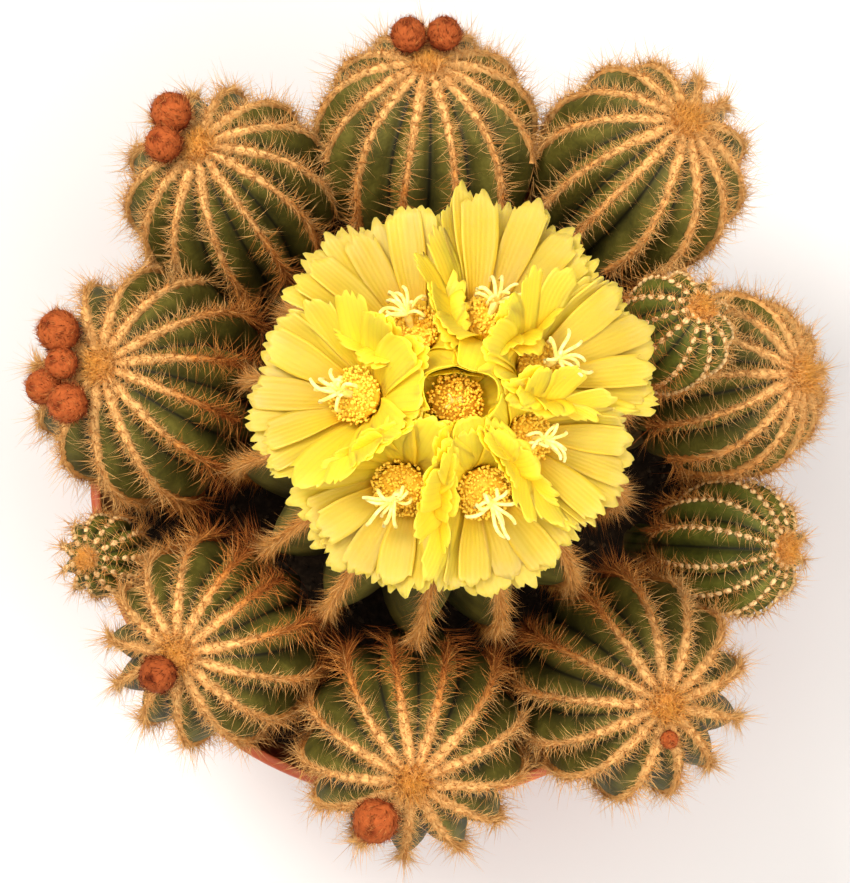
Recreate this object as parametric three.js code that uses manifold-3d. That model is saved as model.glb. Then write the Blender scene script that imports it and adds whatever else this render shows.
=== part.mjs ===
// A potted balloon cactus: a ribbed, globe-shaped mother stem with a crown of yellow flowers, ringed by
// eleven ribbed offsets that lean out over the rim of a round terracotta-coloured pan.
// Millimetres, +Z up. The origin is the centre of the pan's foot.
import * as THREE from "three";
import Module from "manifold-3d";
import { mergeVertices } from "three/addons/utils/BufferGeometryUtils.js";

const wasm = await Module();
wasm.setup();

// Driving dimensions

const GAP = 0.35; // clear space between pieces that touch
const RIM_HEIGHT = 112;
const RIM_RADIUS = 102;
const FOOT_RADIUS = 74;
const POT_WALL = 3.2;
const COLLAR_HEIGHT = 20; // the upright band under the rim
const COLLAR_STEP = 4; // how far that band stands out from the wall
const DRAIN_HOLES = 6;
const DRAIN_RADIUS = 5;
const DRAIN_CIRCLE = 48;
const POT_SIDES = 28;

const SOIL_BELOW_RIM = 12;
const SOIL_SIDES = 20;
const HOLE_DEPTH = 8; // how deep the stems stand in the soil
const HOLE_CLEARANCE = 0.8;
const GRIT_HEIGHT = 1.6;

const RIB_DEPTH = 0.23; // groove depth as a share of the crest radius
const TIP_SQUAT = 0.94; // height of a stem's rounded top as a share of its radius
const NECK = 0.3; // radius where a stem enters the soil, as a share of its widest
const BELLY = 1.15; // distance from the widest point down to the neck, as a share of the widest radius
const NECK_BEND = 0.55; // how far back the neck starts to bend, as a share of its length

const WOOL_WIDTH = 3.2;
const WOOL_HEIGHT = 1.6;
const WOOL_SHARE = 0.85; // the most that a strip of wool may take of its rib's width
const CROWN_HEIGHT = 2.6; // depth of the wool over a stem's tip
const SPINE_LENGTH = 9.5;
const YOUNG_SPINES = 0.7; // length of a small offset's spines beside that
const SPINE_SPLAY = [28, 62]; // degrees off the rib's outward normal
const SPINE_SLANT = [-0.17, 0.33]; // lean down or up the rib
const SPINE_ROOT = 1.1; // length of the areole that a pair of spines stands on
const SPINE_CLEARANCE = 0.9;

// An offset's ribs that face the mother stem: [cosine of the rib's angle, lowest station that has wool]
const INWARD_RIBS = [[-0.55, 1.3], [-0.15, 1]];

// Stations run along a stem: -1 at its foot, 0 where its neck ends, 1 where it is widest, 2 at its tip.
const LARGE_STATIONS = { areoles: [0.3, 0.76, 1.17, 1.48], crown: 1.79 };
const SMALL_STATIONS = { areoles: [0.45, 1.06, 1.42], crown: 1.76 };

// The mother stem stands upright.
const MOTHER = {
  name: "mother",
  bearing: 0, reach: 0, rise: 66, girth: 56, lean: 0, leanBearing: 0,
  rootReach: 0, neck: 0.5, ribs: 14, turn: 8, stations: LARGE_STATIONS,
};

// Each offset's widest point is reach from the mother's axis on its bearing, and rise above the rim. Its tip
// leans by lean degrees towards leanBearing. Buds are [turn about the stem, degrees off its tip, radius].
const OFFSETS = [
  { name: "offset_1", bearing: 90, reach: 97, rise: 40, girth: 33.5, lean: 32, leanBearing: 96,
    rootReach: 72, ribs: 13, turn: 0, buds: [[-52, 9, 5.8], [56, 9, 6]] },
  { name: "offset_2", bearing: 53.5, reach: 109.5, rise: 45.3, girth: 31.5, lean: 24, leanBearing: 40,
    rootReach: 76, ribs: 13, turn: 10, buds: [] },
  { name: "offset_3", bearing: 25.5, reach: 78.5, rise: 71, girth: 16.8, lean: 24, leanBearing: 36,
    rootReach: 60, rootRise: 44, neck: 0.5, ribs: 11, turn: 0, small: true, buds: [] },
  { name: "offset_4", bearing: 14, reach: 97, rise: 33, girth: 27.8, lean: 40, leanBearing: 1,
    rootReach: 66, ribs: 13, turn: 4, buds: [] },
  { name: "offset_5", bearing: -15, reach: 99, rise: 26, girth: 20.8, lean: 40, leanBearing: -8,
    rootReach: 72, ribs: 12, turn: 0, small: true, buds: [] },
  { name: "offset_6", bearing: -48.5, reach: 91.5, rise: 39, girth: 33.2, lean: 18, leanBearing: -48,
    rootReach: 66, ribs: 13, turn: 6, buds: [[-42, 14, 3]] },
  { name: "offset_7", bearing: -92.5, reach: 86, rise: 38.5, girth: 33, lean: 23, leanBearing: -100,
    rootReach: 62, ribs: 13, turn: 0, buds: [[-46, 19, 7.4]] },
  { name: "offset_8", bearing: -138.5, reach: 84.5, rise: 36, girth: 30.6, lean: 24, leanBearing: -152,
    rootReach: 62, ribs: 13, turn: 12, buds: [[20, 8, 6.2]] },
  { name: "offset_9", bearing: -163.5, reach: 101, rise: 19.5, girth: 12.2, lean: 24, leanBearing: -155,
    rootReach: 84, neck: 0.4, ribs: 11, turn: 0, small: true, buds: [] },
  { name: "offset_10", bearing: 166, reach: 85, rise: 39, girth: 34.6, lean: 26, leanBearing: 176,
    rootReach: 62, ribs: 13, turn: 5, buds: [[-31, 18, 7], [13, 12, 5.4], [35, 22.5, 6], [74, 18, 6.6]] },
  { name: "offset_11", bearing: 127, reach: 100, rise: 40, girth: 30.6, lean: 24, leanBearing: 140,
    rootReach: 72, ribs: 13, turn: 8, buds: [[0, 14, 6.8], [70, 12, 6.2]] },
];

// Flowers: bearing round the mother's axis, distance of the foot from it, tilt, and size beside a full flower
const FLOWERS = [
  { bearing: 174, foot: 14, tilt: 36, size: 1 },
  { bearing: 118, foot: 12, tilt: 33, size: 1 },
  { bearing: 68, foot: 14, tilt: 36, size: 1 },
  { bearing: 24, foot: 14, tilt: 36, size: 1 },
  { bearing: -21, foot: 12, tilt: 34, size: 0.9 },
  { bearing: -70, foot: 13, tilt: 34, size: 1 },
  { bearing: -122, foot: 14, tilt: 36, size: 1 },
];
const MIDDLE_FLOWER = { bearing: 0, foot: 0, tilt: 0, size: 1, middle: true };
const TUBE_LENGTH = 13;
const TUBE_FOOT_RADIUS = 4;
const TUBE_TOP_RADIUS = 6.4;
const TUBE_SIDES = 5;
const PAD_RADIUS = 18; // rust-coloured wool that the flower tubes grow out of
const PAD_THICKNESS = 2;
const TUBE_SINK = 0.6; // how deep the tubes stand in it
const CROWN_DOME = 100; // a flower's foot is lower by the square of its distance from the axis over this
const PETALS_PER_LAYER = 7;
const CORE_RADIUS = 5.8;
const LAYER_HEIGHT = 1.8;
const PETAL_LENGTHS = [31, 27]; // outer layer, inner layer
const PETAL_HALF_WIDTHS = [3.6, 4.9]; // at the middle and near the tip
const PETAL_THICKNESS = 0.8;
const PETAL_RISES = [30, 22]; // degrees off the flower's axis at the foot
const PETAL_SPREADS = [82, 60]; // degrees off it at the tip, in a petal with room
const LEAST_SPREAD = -24;
const PETAL_STEPS = [[0.5, 0.35], [0.38, 0.8], [0.12, 1]]; // [share of length, share of the bend]
const NOTCH_DEPTH = 2;
const CROWDING = 0.42; // the most that a petal's half width may be, as a share of its distance from the axis
const LAYER_ANGLE = 10; // an inner petal stands at least this much steeper than the two below it
const MIDDLE_REACH = 9.8; // the middle flower stays inside this radius
const MIDDLE_CLEARANCE = 1.2;
const MIDDLE_SPREAD = -14; // its petals' tips curl in
const MIDDLE_RISE = 20;
const WALL_CLEARANCE = 0.5; // from the planes halfway between two flowers
const STAMEN_HEIGHT = 6.5;
const STAMEN_RADIUS = 4.9;
const STAMEN_COLUMNS = 8;
const STIGMA_LOBES = 6;
const STIGMA_REACH = 5;

// Materials

function coat(color, roughness) {
  return new THREE.MeshStandardMaterial({ color, roughness, metalness: 0 });
}
const terracotta = coat(0xc8663f, 0.6);
const earth = coat(0x4a3a2c, 0.95);
const skin = coat(0x56682f, 0.55);
const youngSkin = coat(0x5b7a35, 0.55);
const goldenWool = coat(0xe2a862, 0.9);
const petalYellow = coat(0xffe23c, 0.5);
const stamenGold = coat(0xf0b428, 0.7);
const stigmaCream = coat(0xfff6a8, 0.6);
const rustWool = coat(0xb5602e, 0.95);

// Small tools

function seededRandom(seed) {
  let state = seed;
  return () => {
    state = (state + 0x6d2b79f5) | 0;
    let t = Math.imul(state ^ (state >>> 15), 1 | state);
    t = (t + Math.imul(t ^ (t >>> 7), 61 | t)) ^ t;
    return ((t ^ (t >>> 14)) >>> 0) / 4294967296;
  };
}

const radians = THREE.MathUtils.degToRad;
const vector = (x, y, z) => new THREE.Vector3(x, y, z);
const polar = (radius, angle, z) => vector(radius * Math.cos(angle), radius * Math.sin(angle), z);
const toward = (start, direction, distance) => start.clone().addScaledVector(direction, distance);
const between = ([low, high], share) => low + (high - low) * share;

// A direction that leans off +Z by tilt, towards a bearing, both in radians.
function leaning(tilt, bearing) {
  return vector(Math.sin(tilt) * Math.cos(bearing), Math.sin(tilt) * Math.sin(bearing), Math.cos(tilt));
}

// A closed surface put together face by face, counter-clockwise as seen from outside.
class Surface {
  constructor() {
    this.positions = [];
    this.indices = [];
  }
  point(v) {
    this.positions.push(v.x, v.y, v.z);
    return this.positions.length / 3 - 1;
  }
  ring(points) {
    return points.map((v) => this.point(v));
  }
  triangle(a, b, c) {
    this.indices.push(a, b, c);
  }
  quad(a, b, c, d) {
    this.indices.push(a, b, c, a, c, d);
  }
  // Joins two rings of equal length, the second further along.
  band(lower, upper) {
    lower.forEach((a, i) => {
      const j = (i + 1) % lower.length;
      this.quad(a, lower[j], upper[j], upper[i]);
    });
  }
  // Closes a ring with a fan to one point: beyond it, or behind it where facing is -1.
  fan(ring, tip, facing = 1) {
    ring.forEach((a, i) => {
      const b = ring[(i + 1) % ring.length];
      if (facing > 0) this.triangle(a, b, tip);
      else this.triangle(b, a, tip);
    });
  }
  geometry() {
    const made = new THREE.BufferGeometry();
    made.setAttribute("position", new THREE.Float32BufferAttribute(this.positions, 3));
    made.setIndex(this.indices);
    made.computeVertexNormals();
    return made;
  }
}

// three.js geometry to a manifold-3d solid, and back
function solidOf(geometry) {
  const bare = geometry.clone();
  bare.deleteAttribute("normal");
  bare.deleteAttribute("uv");
  const merged = mergeVertices(bare, 1e-4);
  return new wasm.Manifold(new wasm.Mesh({
    numProp: 3,
    vertProperties: new Float32Array(merged.attributes.position.array),
    triVerts: new Uint32Array(merged.index.array),
  }));
}

function geometryOf(solid) {
  const found = solid.getMesh();
  const made = new THREE.BufferGeometry();
  made.setAttribute("position", new THREE.BufferAttribute(found.vertProperties, 3));
  made.setIndex(new THREE.BufferAttribute(found.triVerts, 1));
  made.computeVertexNormals();
  return made;
}

function piece(name, geometry, material) {
  const mesh = new THREE.Mesh(geometry, material);
  mesh.name = name;
  return mesh;
}

// Pot and soil

function turned(profile, sides) {
  const lathe = new THREE.LatheGeometry(profile.map(([r, z]) => new THREE.Vector2(r, z)), sides);
  return lathe.rotateX(Math.PI / 2);
}

const WALL_TOP = RIM_HEIGHT - COLLAR_HEIGHT;
const WALL_TOP_RADIUS = RIM_RADIUS - COLLAR_STEP - 1;

function potSolid() {
  const inner = WALL_TOP_RADIUS - POT_WALL;
  const pot = solidOf(turned([
    [0, 0],
    [FOOT_RADIUS - 2, 0],
    [FOOT_RADIUS, 3],
    [WALL_TOP_RADIUS, WALL_TOP],
    [RIM_RADIUS - 1, WALL_TOP],
    [RIM_RADIUS, RIM_HEIGHT - 3],
    [RIM_RADIUS - 1.5, RIM_HEIGHT],
    [RIM_RADIUS - POT_WALL, RIM_HEIGHT],
    [inner + 1, WALL_TOP],
    [FOOT_RADIUS - POT_WALL, POT_WALL],
    [0, POT_WALL],
  ], POT_SIDES));
  const holes = Array.from({ length: DRAIN_HOLES }, (_, i) => {
    const hole = new THREE.CylinderGeometry(DRAIN_RADIUS, DRAIN_RADIUS, 3 * POT_WALL, 6);
    const spot = polar(DRAIN_CIRCLE, ((i + 0.5) * 2 * Math.PI) / DRAIN_HOLES, 0);
    return solidOf(hole.rotateX(Math.PI / 2).translate(spot.x, spot.y, spot.z));
  });
  return pot.subtract(wasm.Manifold.union(holes));
}

// Inner radius of the pot's wall, less the gap, at a height under the collar's foot or just above it
function soilRadius(z) {
  const low = FOOT_RADIUS - POT_WALL;
  const high = WALL_TOP_RADIUS - POT_WALL + 1;
  const share = (z - POT_WALL) / (WALL_TOP - POT_WALL);
  return low + (high - low) * Math.min(share, 1) - GAP - 0.5;
}

function soilSolid(stems) {
  const random = seededRandom(5);
  const top = RIM_HEIGHT - SOIL_BELOW_RIM;
  const soil = new Surface();
  const around = (radius, height) => soil.ring(Array.from({ length: SOIL_SIDES }, (_, i) =>
    polar(radius, (i * 2 * Math.PI) / SOIL_SIDES, height())));
  const foot = around(soilRadius(POT_WALL + GAP), () => POT_WALL + GAP);
  const knee = around(soilRadius(WALL_TOP), () => WALL_TOP);
  const edge = around(soilRadius(WALL_TOP), () => top);
  const middle = around(soilRadius(WALL_TOP) * 0.72, () => top + GRIT_HEIGHT * (random() - 0.3));
  soil.fan(foot, soil.point(vector(0, 0, POT_WALL + GAP)), -1);
  soil.band(foot, knee);
  soil.band(knee, edge);
  soil.band(edge, middle);
  soil.fan(middle, soil.point(vector(0, 0, top)));
  const holes = stems.filter((stem) => stem.rootRise === undefined).map((stem) => {
    const sides = stem === MOTHER ? 10 : 8;
    let exit = -1; // the station where the stem comes out of the soil
    while (stemCentre(stem, exit).z < GRIT_HEIGHT + 1 - SOIL_BELOW_RIM) exit += 0.01;
    const radius = (stemRadius(stem, exit) + HOLE_CLEARANCE) / Math.cos(Math.PI / sides);
    const hole = new THREE.CylinderGeometry(radius, radius, 2 * HOLE_DEPTH + 6, sides);
    const foot = stemCentre(stem, -1);
    const along = stemCentre(stem, exit).sub(foot).normalize();
    hole.rotateX(Math.PI / 2).translate(0, 0, HOLE_DEPTH + 2);
    hole.applyQuaternion(new THREE.Quaternion().setFromUnitVectors(vector(0, 0, 1), along));
    hole.translate(foot.x, foot.y, foot.z);
    hole.rotateZ(radians(stem.bearing));
    hole.translate(0, 0, RIM_HEIGHT);
    return solidOf(hole);
  });
  return solidOf(soil.geometry()).subtract(wasm.Manifold.union(holes));
}

// Stems. Each is modelled with +X pointing away from the mother's axis and Z measured from the pot's rim.

const STEM_FOOT = -SOIL_BELOW_RIM - HOLE_DEPTH;

function stemAxes(stem) {
  const widest = vector(stem.reach, 0, stem.rise);
  const tipward = leaning(radians(stem.lean), radians(stem.leanBearing - stem.bearing));
  const foot = vector(stem.rootReach, 0, stem.rootRise ?? STEM_FOOT);
  const length = widest.distanceTo(foot);
  const belly = Math.min(0.9, (BELLY * stem.girth) / length); // share of that length below the widest point
  return { widest, tipward, foot, belly, bend: toward(widest, tipward, -NECK_BEND * length) };
}

function stemCentre(stem, station) {
  const { widest, tipward, foot, belly, bend } = stemAxes(stem);
  if (station > 1) {
    const rise = Math.sin(((station - 1) * Math.PI) / 2) * TIP_SQUAT * stem.girth;
    return toward(widest, tipward, rise);
  }
  const share = station < 0 ? (station + 1) * (1 - belly) : 1 - (1 - station) * belly;
  return foot.lerp(bend, share).lerp(bend.lerp(widest, share), share);
}

function stemRadius(stem, station) {
  if (station > 1) return stem.girth * Math.cos(((station - 1) * Math.PI) / 2);
  const neck = stem.neck ?? NECK;
  const below = Math.min(1, 1 - station);
  return stem.girth * (neck + (1 - neck) * Math.sqrt(1 - below ** 2));
}

// The stem's own directions at a station: along it, away from the mother's axis, and sideways.
function stemFrame(stem, station) {
  const step = 0.02;
  const ahead = stemCentre(stem, Math.min(station + step, 1));
  const along = station > 1
    ? stemAxes(stem).tipward
    : ahead.sub(stemCentre(stem, station - step)).normalize();
  const side = toward(vector(0, 1, 0), along, -along.y).normalize();
  return { along, side, out: side.clone().cross(along) };
}

function ribAngle(stem, rib) {
  return radians(stem.turn) + (rib * 2 * Math.PI) / stem.ribs;
}

function surfacePoint(stem, station, angle, depth = 0) {
  const { side, out } = stemFrame(stem, station);
  const radius = stemRadius(stem, station) * (1 - depth);
  const outward = toward(stemCentre(stem, station), out, radius * Math.cos(angle));
  return toward(outward, side, radius * Math.sin(angle));
}

function stemGeometry(stem) {
  const surface = new Surface();
  const rings = [-1, 0, ...stem.stations.areoles, stem.stations.crown].map((station) => {
    const depth = RIB_DEPTH * THREE.MathUtils.smoothstep(station, -1, 0.4);
    const points = [];
    for (let rib = 0; rib < stem.ribs; rib++) {
      points.push(surfacePoint(stem, station, ribAngle(stem, rib)));
      points.push(surfacePoint(stem, station, ribAngle(stem, rib + 0.5), depth));
    }
    return surface.ring(points);
  });
  surface.fan(rings[0], surface.point(stemCentre(stem, -1)), -1);
  for (let i = 1; i < rings.length; i++) surface.band(rings[i - 1], rings[i]);
  surface.fan(rings[rings.length - 1], surface.point(stemCentre(stem, 2)));
  return surface.geometry();
}

// Balls that fill a stem, for keeping spines out of it
function stemBalls(stem) {
  const stations = Array.from({ length: 16 }, (_, i) => -0.6 + i * 0.16);
  const rings = stations.map((s) => ({ centre: stemCentre(stem, s), radius: stemRadius(stem, s) }));
  const tip = stemCentre(stem, 2);
  return rings.map(({ centre }) => {
    const walls = rings.map((ring) => Math.hypot(centre.distanceTo(ring.centre), ring.radius));
    return { centre: onPlant(stem, centre), radius: Math.min(...walls, centre.distanceTo(tip)) };
  });
}

// From a stem's own frame to the one that all of the plant shares
function onPlant(stem, point) {
  return point.clone().applyAxisAngle(vector(0, 0, 1), radians(stem.bearing));
}

// Buds are balls of rust-coloured wool that stand just clear of the wool on the stem.
function budBalls(stem) {
  return (stem.buds ?? []).map(([turn, offTip, radius]) => {
    const angle = radians(turn);
    const station = 2 - offTip / 90;
    const spot = surfacePoint(stem, station, angle);
    const outward = wayOut(stem, station, angle);
    return { centre: toward(spot, outward, radius + CROWN_HEIGHT + GAP), radius, outward };
  });
}

// The surface's outward normal on the line at an angle round the stem, and the direction up that line
function upLine(stem, station, angle) {
  const step = 0.01;
  const above = surfacePoint(stem, station + step, angle);
  return above.sub(surfacePoint(stem, station - step, angle)).normalize();
}

function wayOut(stem, station, angle) {
  const { side, out } = stemFrame(stem, station);
  const radial = toward(out.clone().multiplyScalar(Math.cos(angle)), side, Math.sin(angle));
  const up = upLine(stem, station, angle);
  return toward(radial, up, -radial.dot(up)).normalize();
}

// Wool and spines: a woolly strip along each rib's crest, with a pair of spines at each areole. The strips
// meet in the wool over the stem's tip, so that a stem's wool and spines hold together as one body.

const placedSpines = []; // every spine so far, on the plant, to keep them from crossing

function segmentDistance(a, b, c, d) {
  let nearest = Infinity;
  const line = new THREE.Line3(a, b);
  const spot = new THREE.Vector3();
  for (let i = 0; i <= 6; i++) {
    const probe = c.clone().lerp(d, i / 6);
    line.closestPointToPoint(probe, true, spot);
    nearest = Math.min(nearest, spot.distanceTo(probe));
  }
  return nearest;
}

function spineFits(stem, root, tip, balls) {
  const start = onPlant(stem, root);
  const end = onPlant(stem, tip);
  const probes = [0.35, 0.6, 0.8, 1].map((share) => start.clone().lerp(end, share));
  const strip = WOOL_HEIGHT + GAP + SPINE_CLEARANCE;
  const inside = balls.some((ball) => probes.some((p) => p.distanceTo(ball.centre) < ball.radius + strip));
  if (inside) return false;
  const rimward = probes.some((p) => {
    const reach = Math.hypot(p.x, p.y);
    return p.z < SPINE_CLEARANCE && reach > RIM_RADIUS - 12 && reach < RIM_RADIUS + SPINE_CLEARANCE;
  });
  if (rimward || end.z < SPINE_CLEARANCE - SOIL_BELOW_RIM) return false;
  const crossing = placedSpines.some(([a, b]) =>
    a.distanceTo(start) < 2.5 * SPINE_LENGTH && a.distanceTo(start) > SPINE_ROOT / 2
    && segmentDistance(a, b, start, end) < SPINE_CLEARANCE);
  if (crossing) return false;
  placedSpines.push([start, end]);
  return true;
}

function spineGeometry(stem, others, random) {
  const surface = new Surface();
  const buds = budBalls(stem).map((bud) => (
    { centre: onPlant(stem, bud.centre), radius: bud.radius - WOOL_HEIGHT }));
  const balls = [...others.filter((other) => other !== stem).flatMap(stemBalls), ...buds, FLOWER_BALL];
  const stripAt = (station, angle) => {
    const spot = surfacePoint(stem, station, angle);
    const out = wayOut(stem, station, angle);
    const side = upLine(stem, station, angle).cross(out);
    const base = toward(spot, out, GAP);
    const room = (2 * Math.PI * stemRadius(stem, station)) / stem.ribs;
    const half = Math.min(WOOL_WIDTH, WOOL_SHARE * room) / 2;
    return [toward(base, side, -half), toward(base, out, WOOL_HEIGHT), toward(base, side, half)];
  };
  const length = (stem.small ? YOUNG_SPINES : 1) * SPINE_LENGTH;
  const mouths = [];
  for (let rib = 0; rib < stem.ribs; rib++) {
    const angle = ribAngle(stem, rib);
    const facing = stem === MOTHER || stem.small ? 1 : Math.cos(angle);
    const [, lowest] = INWARD_RIBS.find(([most]) => facing <= most) ?? [1, 0];
    const stations = stem.stations.areoles.filter((station) => station > lowest);
    let last = null;
    for (const station of stations) {
      const spot = surfacePoint(stem, station, angle);
      const pace = surfacePoint(stem, station + 0.01, angle).distanceTo(spot) / 0.01;
      const half = SPINE_ROOT / 2 / pace;
      const lower = surface.ring(stripAt(station - half, angle));
      const upper = surface.ring(stripAt(station + half, angle));
      if (last) surface.band(last, lower);
      else surface.triangle(lower[0], lower[2], lower[1]);
      const out = wayOut(stem, station, angle);
      const up = upLine(stem, station, angle);
      const side = up.clone().cross(out);
      [-1, 1].forEach((hand, face) => {
        const splay = radians(between(SPINE_SPLAY, random()));
        const level = toward(out.clone().multiplyScalar(Math.cos(splay)), side, hand * Math.sin(splay));
        const way = toward(level, up, between(SPINE_SLANT, random())).normalize();
        const tip = toward(spot, way, length * between([0.85, 1.15], random()));
        const [a, b, c, d] = [lower[face], lower[face + 1], upper[face + 1], upper[face]];
        if (spineFits(stem, spot, tip, balls)) surface.fan([a, b, c, d], surface.point(tip));
        else surface.quad(a, b, c, d);
      });
      surface.quad(lower[2], lower[0], upper[0], upper[2]);
      last = upper;
    }
    const mouth = surface.ring(stripAt(stem.stations.crown, angle));
    surface.band(last, mouth);
    mouths.push(mouth);
  }
  const tipward = stemAxes(stem).tipward;
  const above = surface.point(toward(stemCentre(stem, 2), tipward, GAP + CROWN_HEIGHT));
  const under = surface.point(toward(stemCentre(stem, 2), tipward, GAP));
  mouths.forEach(([left, crest, right], i) => {
    const next = mouths[(i + 1) % mouths.length][0];
    surface.triangle(left, crest, above);
    surface.triangle(crest, right, above);
    surface.triangle(right, next, above);
    surface.triangle(right, left, under);
    surface.triangle(next, right, under);
  });
  return surface.geometry();
}

// Flowers. Each is modelled with its axis along +Z and +X pointing away from the mother's axis.

const CROWN_TOP = MOTHER.rise + TIP_SQUAT * MOTHER.girth + GAP + CROWN_HEIGHT; // above the rim
const PAD_TOP = CROWN_TOP + GAP + PAD_THICKNESS;
const FLOWER_BALL = { centre: vector(0, 0, PAD_TOP + 24), radius: 34 }; // keeps the mother's spines out

function flowerMatrix(flower) {
  const drop = flower.foot ** 2 / CROWN_DOME + TUBE_SINK;
  const lean = new THREE.Matrix4().makeRotationY(radians(flower.tilt));
  const place = new THREE.Matrix4().makeTranslation(flower.foot, 0, PAD_TOP - drop);
  const turn = new THREE.Matrix4().makeRotationZ(radians(flower.bearing));
  const size = new THREE.Matrix4().makeScale(flower.size, flower.size, flower.size);
  return turn.multiply(place).multiply(lean).multiply(size);
}

function tubesSolid() {
  const edge = [[PAD_RADIUS, -2], [PAD_RADIUS - 1.5, PAD_THICKNESS - 2.4]];
  const pad = turned([[0, 0], ...edge, [0, PAD_THICKNESS]], 10);
  pad.translate(0, 0, CROWN_TOP + GAP);
  const tubes = [...FLOWERS, MIDDLE_FLOWER].map((flower) => {
    const tube = new THREE.CylinderGeometry(TUBE_TOP_RADIUS, TUBE_FOOT_RADIUS, TUBE_LENGTH, TUBE_SIDES);
    tube.rotateX(Math.PI / 2).translate(0, 0, TUBE_LENGTH / 2).applyMatrix4(flowerMatrix(flower));
    return solidOf(tube);
  });
  return wasm.Manifold.union([solidOf(pad), ...tubes]);
}

// The planes halfway to the neighbouring flowers, as outward normals on the plant
function flowerWalls(flower) {
  const bearings = FLOWERS.map((f) => f.bearing);
  const gapTo = (hand) => Math.min(...bearings.filter((b) => b !== flower.bearing)
    .map((b) => THREE.MathUtils.euclideanModulo(hand * (b - flower.bearing), 360)));
  return [1, -1].map((hand) => {
    const wall = radians(flower.bearing + (hand * gapTo(hand)) / 2);
    return vector(-Math.sin(wall) * hand, Math.cos(wall) * hand, 0);
  });
}

function petalFits(flower, matrix, points) {
  const placed = points.map((p) => p.clone().applyMatrix4(matrix));
  if (flower.middle) return placed.every((p) => Math.hypot(p.x, p.y) < MIDDLE_REACH);
  const walls = flowerWalls(flower);
  return placed.every((p) => Math.hypot(p.x, p.y) > MIDDLE_REACH + MIDDLE_CLEARANCE
    && walls.every((wall) => p.dot(wall) < -WALL_CLEARANCE));
}

// Petals are drawn round towards the outside of the cluster, where there is room for them.
function petalAim(root) {
  const turn = Math.atan2(Math.sin(root), Math.cos(root));
  return turn * (0.62 + (0.38 * Math.abs(turn)) / Math.PI);
}

// Sections of a petal from its middle to its tip, curving from steep to spread
function petalSections(angle, start, length, rise, spread) {
  const side = vector(-Math.sin(angle), Math.cos(angle), 0);
  let spot = start;
  const sections = PETAL_STEPS.map(([share, bend]) => {
    const way = leaning(radians(between([rise, spread], bend)), angle);
    spot = toward(spot, way, share * length);
    return { spot, thick: side.clone().cross(way) };
  });
  const halves = PETAL_HALF_WIDTHS.map((half, i) => {
    const { x, y } = sections[i].spot;
    return Math.min(half, CROWDING * Math.hypot(x, y));
  });
  const across = sections.slice(0, 2).map(({ spot: at, thick }, i) => {
    const half = halves[i];
    return [
      toward(toward(at, side, -half), thick, PETAL_THICKNESS / 2),
      toward(toward(at, side, half), thick, PETAL_THICKNESS / 2),
      toward(toward(at, side, half), thick, -PETAL_THICKNESS / 2),
      toward(toward(at, side, -half), thick, -PETAL_THICKNESS / 2),
    ];
  });
  const tip = sections[2].spot;
  const back = leaning(radians(spread), angle).multiplyScalar(-NOTCH_DEPTH);
  const half = 0.6 * halves[1];
  return { across, teeth: [toward(tip, side, -half), tip.clone().add(back), toward(tip, side, half)] };
}

function petalGeometry(flower) {
  const surface = new Surface();
  const matrix = flowerMatrix(flower);
  const layers = flower.middle ? 1 : 2;
  const rings = Array.from({ length: layers + 1 }, (_, level) => surface.ring(
    Array.from({ length: PETALS_PER_LAYER }, (_, i) => {
      const corner = ((i - 0.5 + 0.25 * level) * 2 * Math.PI) / PETALS_PER_LAYER;
      return polar(CORE_RADIUS - 0.3 * level, corner, TUBE_LENGTH + GAP + level * LAYER_HEIGHT);
    })));
  surface.fan(rings[0], surface.point(vector(0, 0, TUBE_LENGTH + GAP)), -1);
  const spreads = [];
  for (let layer = 0; layer < layers; layer++) {
    for (let i = 0; i < PETALS_PER_LAYER; i++) {
      const j = (i + 1) % PETALS_PER_LAYER;
      const angle = ((i + layer / 2) * 2 * Math.PI) / PETALS_PER_LAYER;
      const aim = flower.middle ? angle : petalAim(angle);
      const start = polar(CORE_RADIUS, angle, TUBE_LENGTH + GAP + (layer + 0.5) * LAYER_HEIGHT);
      const below = layer === 0 ? [] : [spreads[i], spreads[j]];
      const widest = Math.min(PETAL_SPREADS[layer], ...below.map((s) => s - LAYER_ANGLE));
      const length = PETAL_LENGTHS[flower.middle ? 1 : layer];
      let spread = (flower.middle ? MIDDLE_SPREAD : widest) + 3;
      let found, fits;
      do {
        spread -= 3;
        const rise = flower.middle ? MIDDLE_RISE : Math.min(spread, PETAL_RISES[layer]);
        found = petalSections(aim, start, length, rise, spread);
        fits = petalFits(flower, matrix, [...found.across.flat(), ...found.teeth]);
      } while (!fits && spread > LEAST_SPREAD);
      spreads.push(spread);
      const root = [rings[layer][i], rings[layer][j], rings[layer + 1][j], rings[layer + 1][i]];
      const [middle, wide] = found.across.map((points) => surface.ring(points));
      surface.band(root, middle);
      surface.band(middle, wide);
      const [left, notch, right] = surface.ring(found.teeth);
      const [a, b, c, d] = wide;
      surface.quad(a, b, notch, left);
      surface.triangle(b, right, notch);
      surface.triangle(b, c, right);
      surface.quad(c, d, left, notch);
      surface.triangle(c, notch, right);
      surface.triangle(d, a, left);
    }
  }
  surface.fan(rings[layers], surface.point(vector(0, 0, TUBE_LENGTH + GAP + layers * LAYER_HEIGHT)));
  return surface.geometry().applyMatrix4(matrix);
}

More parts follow.
